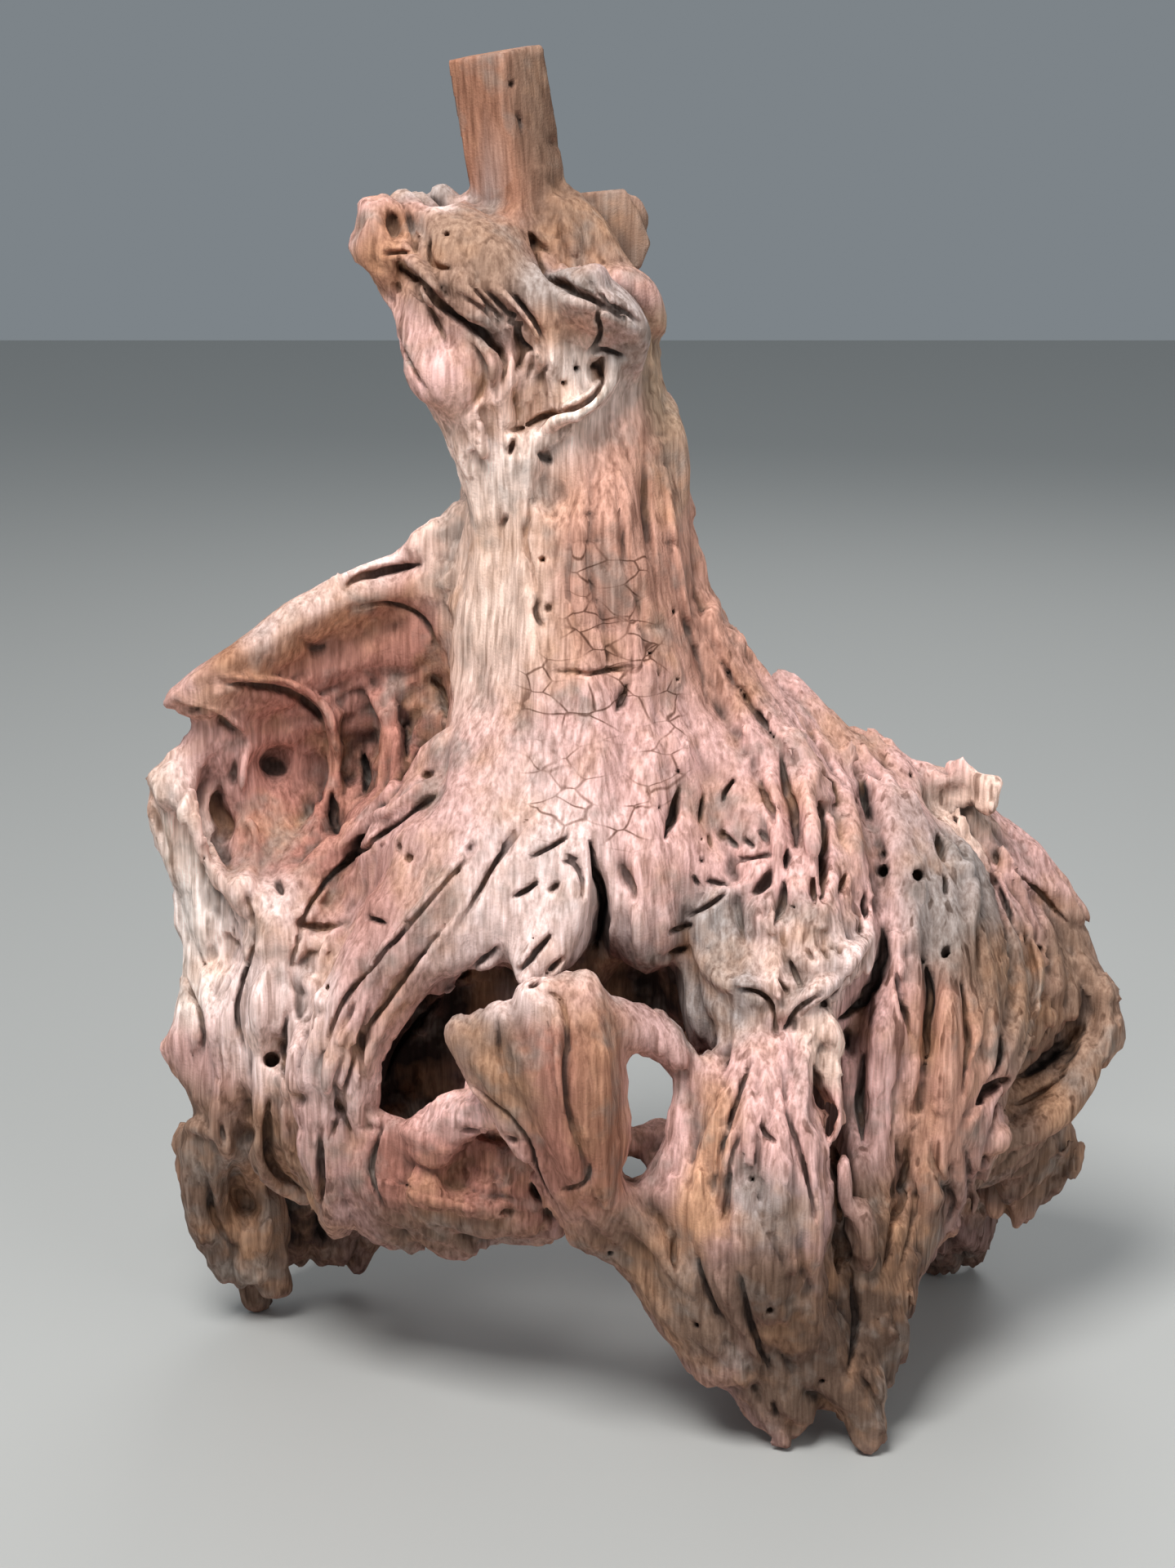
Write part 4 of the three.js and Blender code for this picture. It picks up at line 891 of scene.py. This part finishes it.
PALETTE = {
    "pale tan": (234, 200, 182),
    "pale pink": (234, 204, 195),
    "pink": (222, 174, 165),
    "dusty rose": (205, 160, 151),
    "brown pink": (194, 143, 123),
    "tan": (180, 148, 122),
    "red brown": (172, 115, 99),
    "brown": (160, 112, 82),
    "umber": (146, 115, 95),
    "orange": (204, 152, 120),
    "grey": (160, 146, 139),
    "dark umber": (122, 94, 76),
    "peg brown": (152, 104, 80),
    "bleached and painted light": (252, 230, 218),
    # near-black, for painted shade deep in hollows
    "painted black shade": (26, 18, 13),
}
# colour that cracks and creases are blended toward: partly dirt, partly painted shade
CREVICE = (64, 50, 44)
BASE_TINT = "dusty rose"
PATCHES = {
    # Painted shade: near-black patches inside the hollows and the gaps between the feet
    "painted black shade": [(9, [350, 1490, 372, 1510]), (14, [515, 1270, 500, 1310, 498, 1350]),
        (12, [545, 1230, 575, 1215, 605, 1205]), (24, [730, 1188, 765, 1203, 790, 1220])],
    # Dark umber: the wood's dark tone, on the low leg and right foot partly painted shade
    "dark umber": [(8, [515, 352, 555, 392, 600, 418]), (13, [585, 1260, 615, 1295, 640, 1340]),
        (12, [940, 1580, 970, 1640]), (20, [1100, 1470, 1110, 1500, 1070, 1600, 1060, 1680]),
        (12, [650, 90, 665, 180, 690, 260])],
    "pale tan": [(22, [575, 540, 590, 640, 590, 760, 590, 820]), (14, [625, 560, 630, 700, 640, 820]),
        (8, [1000, 1255, 1010, 1290]), (12, [1160, 980, 1190, 990])],
    "dusty rose": [(18, [590, 880, 575, 980]), (20, [540, 1020, 490, 1120, 450, 1220, 420, 1330]),
        (14, [240, 860, 270, 920, 240, 960]), (14, [400, 1400, 415, 1500])],
    "brown pink": [(18, [700, 600, 715, 700, 740, 790]), (18, [770, 560, 790, 680, 815, 780]),
        (16, [830, 600, 850, 700, 870, 800]), (14, [1160, 1250, 1150, 1340, 1130, 1440])],
    "tan": [(10, [800, 420, 812, 520, 830, 600])],
    "pink": [(22, [680, 860, 760, 860, 760, 960, 700, 960]), (16, [800, 870, 810, 960, 800, 1040]),
        (12, [580, 1345, 540, 1350]), (7, [690, 1205, 705, 1225]), (12, [930, 1300, 935, 1370, 940, 1420]),
        (18, [950, 960, 1000, 1020, 1050, 1080, 1080, 1010]), (12, [1070, 1230, 1075, 1300, 1080, 1400]),
        (7, [1110, 940, 1160, 942]), (18, [540, 430, 580, 460, 610, 490])],
    "pale pink": [(24, [640, 1000, 610, 1080, 570, 1150]), (20, [690, 1060, 680, 1120, 660, 1170]),
        (8, [450, 695, 390, 730, 320, 780]), (16, [300, 1120, 300, 1200, 330, 1260]),
        (10, [370, 1190, 400, 1225]), (14, [400, 1300, 420, 1340]), (6, [605, 1232, 645, 1212, 670, 1236]),
        (12, [980, 1180, 1040, 1165]), (4, [545, 250, 600, 244])],
    "brown": [(12, [290, 805, 340, 800, 400, 775, 450, 760]), (8, [480, 290, 470, 320])],
    "red brown": [(22, [340, 880, 360, 960, 350, 1040]), (20, [460, 800, 500, 830, 470, 900]),
        (16, [430, 1040, 440, 1090, 470, 1110]), (16, [480, 1430, 560, 1440, 640, 1450]),
        (9, [665, 1280, 680, 1360, 700, 1440]), (10, [690, 1400, 715, 1450])],
    # Palest patches: partly bleached wood, partly painted light where the wood under the chin lies in shade
    "bleached and painted light": [(11, [205, 960, 230, 1040, 250, 1130, 240, 1200]), (20, [690, 480, 650, 515, 625, 555])],
    "umber": [(16, [240, 1390, 270, 1440, 285, 1520, 305, 1580]), (14, [330, 1400, 370, 1460]),
        (12, [500, 1500, 600, 1505]), (14, [770, 1530, 800, 1560, 850, 1620]),
        (12, [960, 1700, 1040, 1740]), (18, [1200, 1180, 1240, 1220, 1260, 1300]),
        (14, [1320, 1170, 1340, 1240, 1310, 1330]), (16, [1230, 1430, 1290, 1430]),
        (14, [570, 290, 600, 330, 560, 360]), (14, [740, 270, 770, 300])],
    "peg brown": [(13, [715, 1260, 725, 1320, 725, 1420]), (14, [580, 100, 590, 170, 605, 225])],
    "orange": [(6, [885, 1350, 865, 1420, 850, 1490]), (9, [680, 400, 710, 400]), (7, [680, 595, 690, 612])],
    "grey": [(10, [935, 1460, 950, 1490]), (9, [870, 1130, 885, 1185]),
        (10, [850, 1220, 870, 1240, 900, 1245]), (12, [1110, 1000, 1130, 1080, 1150, 1130]),
        (12, [1180, 1050, 1190, 1110]), (9, [700, 360, 660, 350]), (10, [745, 395, 765, 420]),
        (6, [505, 235, 540, 232])],
}
BACK_PATCHES = {
    "brown": [(14, [600, 100, 640, 200])],
    "tan": [(30, [640, 420, 660, 600, 650, 760])],
    "brown pink": [(26, [760, 560, 790, 720, 830, 860]), (26, [880, 1000, 940, 1140, 1000, 1280])],
    "pale tan": [(22, [580, 820, 540, 960, 500, 1080])],
    "pink": [(28, [680, 900, 690, 1040, 670, 1160])],
    "grey": [(18, [1020, 1000, 1120, 1120, 1180, 1240])],
    "dusty rose": [(24, [420, 800, 340, 900, 300, 1000])],
    "umber": [(22, [420, 1320, 400, 1460]), (22, [1100, 1400, 1150, 1500])],
    "pale pink": [(18, [440, 1140, 380, 1220])],
}


def linear(colour):
    """A colour of 0 to 255, as it looks on a screen, in the shader's own scale."""
    part = np.array(colour) / 255
    return np.where(part <= 0.04045, part / 12.92, ((part + 0.055) / 1.055) ** 2.4)


PATCH_SPACING = 25  # pixels
BASE_SHARE = 0.03  # of the base tint, where no patch is near


def nearness(points, line, reach):
    """How near each point is to a line's places, from 0 to 1."""
    gaps = ((points[:, None] - line[None]) ** 2).sum(axis=2).min(axis=1)
    return np.exp(-gaps / reach ** 2)


def patch_tints(points):
    """The colour at each point, blended from the patches near it."""
    total = np.tile(BASE_SHARE * linear(PALETTE[BASE_TINT]), (len(points), 1))
    weight = np.full(len(points), BASE_SHARE)
    for patches, behind in ((PATCHES, False), (BACK_PATCHES, True)):
        for colour, lines in patches.items():
            for reach, pixels in lines:
                share = nearness(points, hits(curve(pixels, PATCH_SPACING), behind), reach)
                total += share[:, None] * linear(PALETTE[colour])
                weight += share
    return total / weight[:, None]


# Where the wood has dried in plates: reach, and pixels of the front
CRACKED = [
    (12, [715, 700, 730, 800]),
    (12, [785, 700, 800, 800]),
    (16, [670, 850, 690, 920, 680, 985]),
    (18, [740, 850, 765, 920, 760, 985]),
    (12, [815, 860, 815, 950]),
]


def near_lines(points, lines):
    """How near each point is to any of the lines, from 0 to 1."""
    share = np.zeros(len(points))
    for reach, pixels in lines:
        share = np.maximum(share, nearness(points, hits(curve(pixels, PATCH_SPACING)), reach))
    return share


def smooth_step(values, low, high):
    t = np.clip((values - low) / (high - low), 0, 1)
    return t * t * (3 - 2 * t)


# Forms that change the tint: how far round and above a place the wood is looked for, and how close it has
# to be for none of the change and all of it. Cracks and creases darken by dirt and painted shade, hollows by
# painted shade, worn ridges get lighter
CRACK = (3.2, 1.5, 0.34, 0.60)
CREASE = (8, 4, 0.34, 0.70)
HOLLOW = (26, 20, 0.38, 0.60)
WORN = (5, 2, 0.32, 0.12)
LOW_SHADE_HEIGHTS = (40, 150)  # heights between which the painted shade of the feet fades
# How much of each change is seen at its most
CRACK_SHARE = 0.85
CREASE_SHARE = 0.55
HOLLOW_SHARE = 0.85
WORN_SHARE = 0.2
LOW_SHADE_SHARE = 0.5
UNDERSIDE_SHARE = 0.5
ROUGHEST = 1.6  # roughness that shows all of the dark dashes


def shut_in(points, normals, spread, lift, none, full):
    """How far the wood round a place a little above the surface shuts it in, from 0 to 1."""
    solid = (wood.values[::2, ::2, ::2] < 0).astype(np.float32)
    near = blur(solid, spread / (2 * STEP))
    closeness = between(near, (points + lift * normals - wood.low) / (2 * STEP))
    return smooth_step(closeness, none, full)


# Directions in the front plane that the fine grain is drawn in, in degrees from upright
GRAIN_ANGLES = [-45, 0, 45, 90]


def angle_weights(ways):
    """How far a grain runs in each of the fixed directions."""
    weights = []
    for angle in GRAIN_ANGLES:
        turn = math.radians(angle)
        weights.append(np.abs(ways @ np.array([math.sin(turn), 0, math.cos(turn)])) ** 8 + 1e-3)
    return np.stack(weights, axis=1) / np.sum(weights, axis=0)[:, None]


def add_attribute(mesh, name, kind, values):
    layer = mesh.attributes.new(name, kind, "POINT")
    field = {"FLOAT_COLOR": "color", "FLOAT_VECTOR": "vector", "FLOAT": "value"}[kind]
    layer.data.foreach_set(field, np.ascontiguousarray(values, dtype=np.float32).ravel())


def dress(mesh):
    """Stores each point's colour, with painted shade in cracks, creases, hollows and low parts and on
    undersides, and grain for the material.
    """
    points = np.empty(len(mesh.vertices) * 3)
    mesh.vertices.foreach_get("co", points)
    points = points.reshape(-1, 3) / MM
    normals = np.empty(len(mesh.vertices) * 3)
    mesh.vertices.foreach_get("normal", normals)
    normals = normals.reshape(-1, 3)
    tints = patch_tints(points)
    # Downward faces tinted toward red brown: partly the wood's weathered colour, partly painted shade
    below = UNDERSIDE_SHARE * smooth_step(-normals[:, 2], 0.1, 0.9)[:, None]
    tints = tints * (1 - below) + below * linear(PALETTE["red brown"])
    crack = shut_in(points, normals, *CRACK)
    crease = shut_in(points, normals, *CREASE)
    hollow = shut_in(points, normals, *HOLLOW)
    worn = shut_in(points, normals, *WORN)
    # Cracks and creases blended toward the crevice colour: partly dirt, partly painted shade
    soiled_and_shaded = (1 - (1 - CRACK_SHARE * crack) * (1 - CREASE_SHARE * crease))[:, None]
    tints = tints * (1 - soiled_and_shaded) + soiled_and_shaded * linear(CREVICE)
    # Painted shade: the wood darker towards the bottom
    low = 1 - smooth_step(points[:, 2], *LOW_SHADE_HEIGHTS)
    # Painted shade in hollows and towards the feet, with a lighter tint on worn ridges
    shade = (1 - HOLLOW_SHARE * hollow) * (1 + WORN_SHARE * worn) * (1 - LOW_SHADE_SHARE * low)
    tints = tints * shade[:, None]
    tints = np.concatenate([np.clip(tints, 0.004, 1), np.ones((len(points), 1))], axis=1)
    ways, rough = grain.smooth(points)
    weights = angle_weights(ways)
    add_attribute(mesh, "tint", "FLOAT_COLOR", tints)
    add_attribute(mesh, "rough", "FLOAT", np.clip(rough / ROUGHEST, 0, 1))
    add_attribute(mesh, "crackle", "FLOAT", near_lines(points, CRACKED))
    add_attribute(mesh, "grain", "FLOAT_COLOR", weights)


class Shader:
    """A material's node tree, built by short calls."""

    def __init__(self, name):
        self.material = bpy.data.materials.new(name)
        self.material.use_nodes = True
        self.tree = self.material.node_tree
        self.surface = self.tree.nodes["Principled BSDF"]

    def add(self, kind, links=None, **settings):
        made = self.tree.nodes.new(kind)
        for key, value in settings.items():
            setattr(made, key, value)
        for socket, value in (links or {}).items():
            if isinstance(value, bpy.types.NodeSocket):
                self.tree.links.new(value, made.inputs[socket])
            else:
                made.inputs[socket].default_value = value
        return made

    def maths(self, operation, first, second):
        return self.add("ShaderNodeMath", {0: first, 1: second}, operation=operation).outputs[0]

    def attribute(self, name):
        return self.add("ShaderNodeAttribute", attribute_name=name)

    def noise(self, vector, scale, detail=4.0, roughness=0.6):
        links = {"Vector": vector, "Scale": scale, "Detail": detail, "Roughness": roughness}
        return self.add("ShaderNodeTexNoise", links).outputs["Fac"]

    def between(self, value, low, high, to_low, to_high):
        links = {"Value": value, 1: low, 2: high, 3: to_low, 4: to_high}
        return self.add("ShaderNodeMapRange", links).outputs["Result"]

    def turned(self, place, angle, stretch):
        """Coordinates drawn out along a direction in the front plane, in degrees from upright."""
        links = {"Vector": place, "Rotation": (0, -math.radians(angle), 0), "Scale": (1, 1, stretch)}
        return self.add("ShaderNodeMapping", links).outputs[0]

    def blend(self, colour, other, factor):
        links = {0: factor, 6: colour, 7: other}
        return self.add("ShaderNodeMix", links, data_type="RGBA").outputs[2]

    def multiply(self, colour, factor):
        links = {0: 1.0, 6: colour, 7: factor}
        made = self.add("ShaderNodeMix", links, data_type="RGBA", blend_type="MULTIPLY")
        return made.outputs[2]


# Blotches in the shader's own scale
RUST = (0.52, 0.27, 0.15, 1)
DUST = (0.25, 0.2, 0.17, 1)


def weathered_wood():
    """Wood with streaks along its grain, blotches, dark dashes, and cracks round dried plates."""
    shader = Shader("weathered wood")
    place = shader.add("ShaderNodeTexCoord").outputs["Object"]
    weights = shader.attribute("grain")
    split = shader.add("ShaderNodeSeparateColor", {0: weights.outputs["Color"]}).outputs
    streaks = None
    dashes = None
    for angle, weight in zip(GRAIN_ANGLES, (split[0], split[1], split[2], weights.outputs["Alpha"])):
        turned = shader.turned(place, angle, 0.07)
        lines = shader.maths("MULTIPLY", shader.noise(turned, 420, 2, 0.65), weight)
        streaks = lines if streaks is None else shader.maths("ADD", streaks, lines)
        drawn = shader.noise(shader.turned(place, angle, 0.06), 230, 1, 0.5)
        lines = shader.maths("MULTIPLY", shader.between(drawn, 0.30, 0.36, 1, 0), weight)
        dashes = lines if dashes is None else shader.maths("ADD", dashes, lines)
    dashes = shader.maths("MULTIPLY", dashes, shader.attribute("rough").outputs["Fac"])
    specks = shader.noise(place, 900, 1, 0.7)
    colour = shader.attribute("tint").outputs["Color"]
    rusty = shader.between(shader.noise(place, 30, 3), 0.48, 0.70, 0, 0.6)
    colour = shader.blend(colour, RUST, rusty)
    dusty = shader.between(shader.noise(place, 41, 3), 0.52, 0.70, 0, 0.65)
    colour = shader.blend(colour, DUST, dusty)
    dark = shader.between(streaks, 0.34, 0.66, 0.68, 1.5)
    patchy = shader.between(shader.noise(place, 22, 3, 0.6), 0.3, 0.7, 0.85, 1.15)
    dark = shader.maths("MULTIPLY", dark, shader.between(dashes, 0, 1, 1, 0.35))
    wandering = shader.add("ShaderNodeTexNoise", {"Vector": place, "Scale": 60.0, "Detail": 1.0})
    shifted = shader.add("ShaderNodeVectorMath", {0: wandering.outputs["Color"], 1: (0.006, 0.006, 0.006)},
                         operation="MULTIPLY")
    shifted = shader.add("ShaderNodeVectorMath", {0: shifted.outputs[0], 1: place}, operation="ADD")
    shifted = shader.add("ShaderNodeMapping", {"Vector": shifted.outputs[0], "Scale": (0.7, 0.7, 1.4)})
    plates = shader.add("ShaderNodeTexVoronoi", {"Vector": shifted.outputs[0], "Scale": 80.0},
                        feature="DISTANCE_TO_EDGE")
    line = shader.between(plates.outputs["Distance"], 0.012, 0.045, 1, 0)
    line = shader.maths("MULTIPLY", line, shader.between(shader.noise(place, 45, 2), 0.40, 0.55, 0.1, 1))
    cracked = shader.between(shader.attribute("crackle").outputs["Fac"], 0.2, 0.6, 0, 1)
    line = shader.maths("MULTIPLY", line, cracked)
    factor = shader.maths("MULTIPLY", dark, patchy)
    factor = shader.maths("MULTIPLY", factor, shader.between(line, 0, 1, 1, 0.3))
    shade = shader.add("ShaderNodeCombineColor", {
        0: factor,
        1: shader.maths("POWER", factor, 1.15),
        2: shader.maths("POWER", factor, 1.25),
    })
    colour = shader.multiply(colour, shade.outputs[0])
    shader.tree.links.new(colour, shader.surface.inputs["Base Color"])
    shader.surface.inputs["Roughness"].default_value = 0.85
    shader.surface.inputs["Specular IOR Level"].default_value = 0.25
    height = shader.maths("ADD", streaks, shader.maths("MULTIPLY", specks, 0.35))
    bump = shader.add("ShaderNodeBump", {"Strength": 0.55, "Distance": 0.0012, "Height": height})
    shader.tree.links.new(bump.outputs[0], shader.surface.inputs["Normal"])
    return shader.material


# The finished mesh

def mesh_object(name, points, triangles, quads):
    faces = np.concatenate([triangles.ravel(), quads.ravel()]).astype(np.int32)
    sizes = np.concatenate([np.full(len(triangles), 3), np.full(len(quads), 4)])
    starts = np.concatenate([[0], np.cumsum(sizes)[:-1]]).astype(np.int32)
    mesh = bpy.data.meshes.new(name)
    mesh.vertices.add(len(points))
    mesh.vertices.foreach_set("co", (points * MM).astype(np.float32).ravel())
    mesh.loops.add(len(faces))
    mesh.loops.foreach_set("vertex_index", faces)
    mesh.polygons.add(len(sizes))
    mesh.polygons.foreach_set("loop_start", starts)
    mesh.update(calc_edges=True)
    mesh.validate()
    made = bpy.data.objects.new(name, mesh)
    bpy.context.scene.collection.objects.link(made)
    return made


def drop_crumbs(mesh):
    """Keeps only the largest connected piece of a mesh."""
    edges = np.empty(len(mesh.edges) * 2, dtype=np.int32)
    mesh.edges.foreach_get("vertices", edges)
    a, b = edges.reshape(-1, 2).T
    labels = np.arange(len(mesh.vertices))
    while (labels[a] != labels[b]).any():
        lower = np.minimum(labels[a], labels[b])
        np.minimum.at(labels, a, lower)
        np.minimum.at(labels, b, lower)
        labels = labels[labels]
    largest = np.bincount(labels).argmax()
    cleaner = bmesh.new()
    cleaner.from_mesh(mesh)
    cleaner.verts.ensure_lookup_table()
    crumbs = [cleaner.verts[int(n)] for n in np.nonzero(labels != largest)[0]]
    bmesh.ops.delete(cleaner, geom=crumbs, context="VERTS")
    cleaner.to_mesh(mesh)
    cleaner.free()


places, triangles, quads = wood.surface()
root = mesh_object("weathered_root", places, triangles, quads)
thinning = root.modifiers.new("thinning", "DECIMATE")
thinning.ratio = TRIANGLES / (len(triangles) + 2 * len(quads))
away = np.empty(len(places) * 3)
root.data.vertices.foreach_get("normal", away)
away = away.reshape(-1, 3) @ FORWARD > TURNED_AWAY
spare = root.vertex_groups.new(name="spare")  # weights that say where the mesh is thinned more
spare.add(np.nonzero(away)[0].tolist(), 1.0, "REPLACE")
spare.add(np.nonzero(~away)[0].tolist(), 0.5, "REPLACE")
thinning.vertex_group = "spare"
thinning.vertex_group_factor = SPARE_FACTOR
depsgraph = bpy.context.evaluated_depsgraph_get()
thinned = bpy.data.meshes.new_from_object(root.evaluated_get(depsgraph))
root.modifiers.clear()
drop_crumbs(thinned)
root.data = thinned
root.data.shade_smooth()

root.data.materials.clear()
root.data.materials.append(weathered_wood())
dress(root.data)
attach(root, "root")
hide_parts("dry_root")


# Floor, light and camera

FLOOR = 4  # half its width in metres
FLOOR_COLOUR = (0.5, 0.5, 0.48, 1)
SKY_COLOUR = (0.82, 0.92, 1, 1)
SKY_STRENGTH = 0.25
LIT = Vector((0, 0, 0.3))  # the place that the lights face, in metres

floor = bpy.data.meshes.new("floor")
corners = [(-FLOOR, -FLOOR, 0), (FLOOR, -FLOOR, 0), (FLOOR, FLOOR, 0), (-FLOOR, FLOOR, 0)]
floor.from_pydata(corners, [], [(0, 1, 2, 3)])
floor_object = bpy.data.objects.new("floor", floor)
bpy.context.scene.collection.objects.link(floor_object)
paint = bpy.data.materials.new("floor")
paint.use_nodes = True
paint.node_tree.nodes["Principled BSDF"].inputs["Base Color"].default_value = FLOOR_COLOUR
floor.materials.append(paint)

world = bpy.data.worlds.new("studio")
bpy.context.scene.world = world
world.use_nodes = True
sky = world.node_tree.nodes["Background"]
sky.inputs["Color"].default_value = SKY_COLOUR
sky.inputs["Strength"].default_value = SKY_STRENGTH


def area_light(name, place, size, power):
    light = bpy.data.lights.new(name, "AREA")
    light.size = size
    light.energy = power
    made = bpy.data.objects.new(name, light)
    made.location = place
    made.rotation_mode = "QUATERNION"
    made.rotation_quaternion = (LIT - Vector(place)).to_track_quat("-Z", "Y")
    bpy.context.scene.collection.objects.link(made)


# Name, place and size in metres, and power in watts
area_light("key", (-0.5, -1.0, 2.1), 0.9, 50)
area_light("fill", (1.2, -1.5, 1.5), 1.2, 8)
area_light("back fill", (0.4, 1.7, 1.5), 1.4, 9)
bpy.context.scene.view_settings.view_transform = "Standard"

lens = bpy.data.cameras.new("camera")
lens.lens = lens.sensor_width * FOCAL / PHOTO_HEIGHT
camera = bpy.data.objects.new("camera", lens)
camera.location = Vector(EYE * MM)
camera.rotation_mode = "QUATERNION"
camera.rotation_quaternion = Vector(FORWARD).to_track_quat("-Z", "Y")
bpy.context.scene.collection.objects.link(camera)
bpy.context.scene.camera = camera
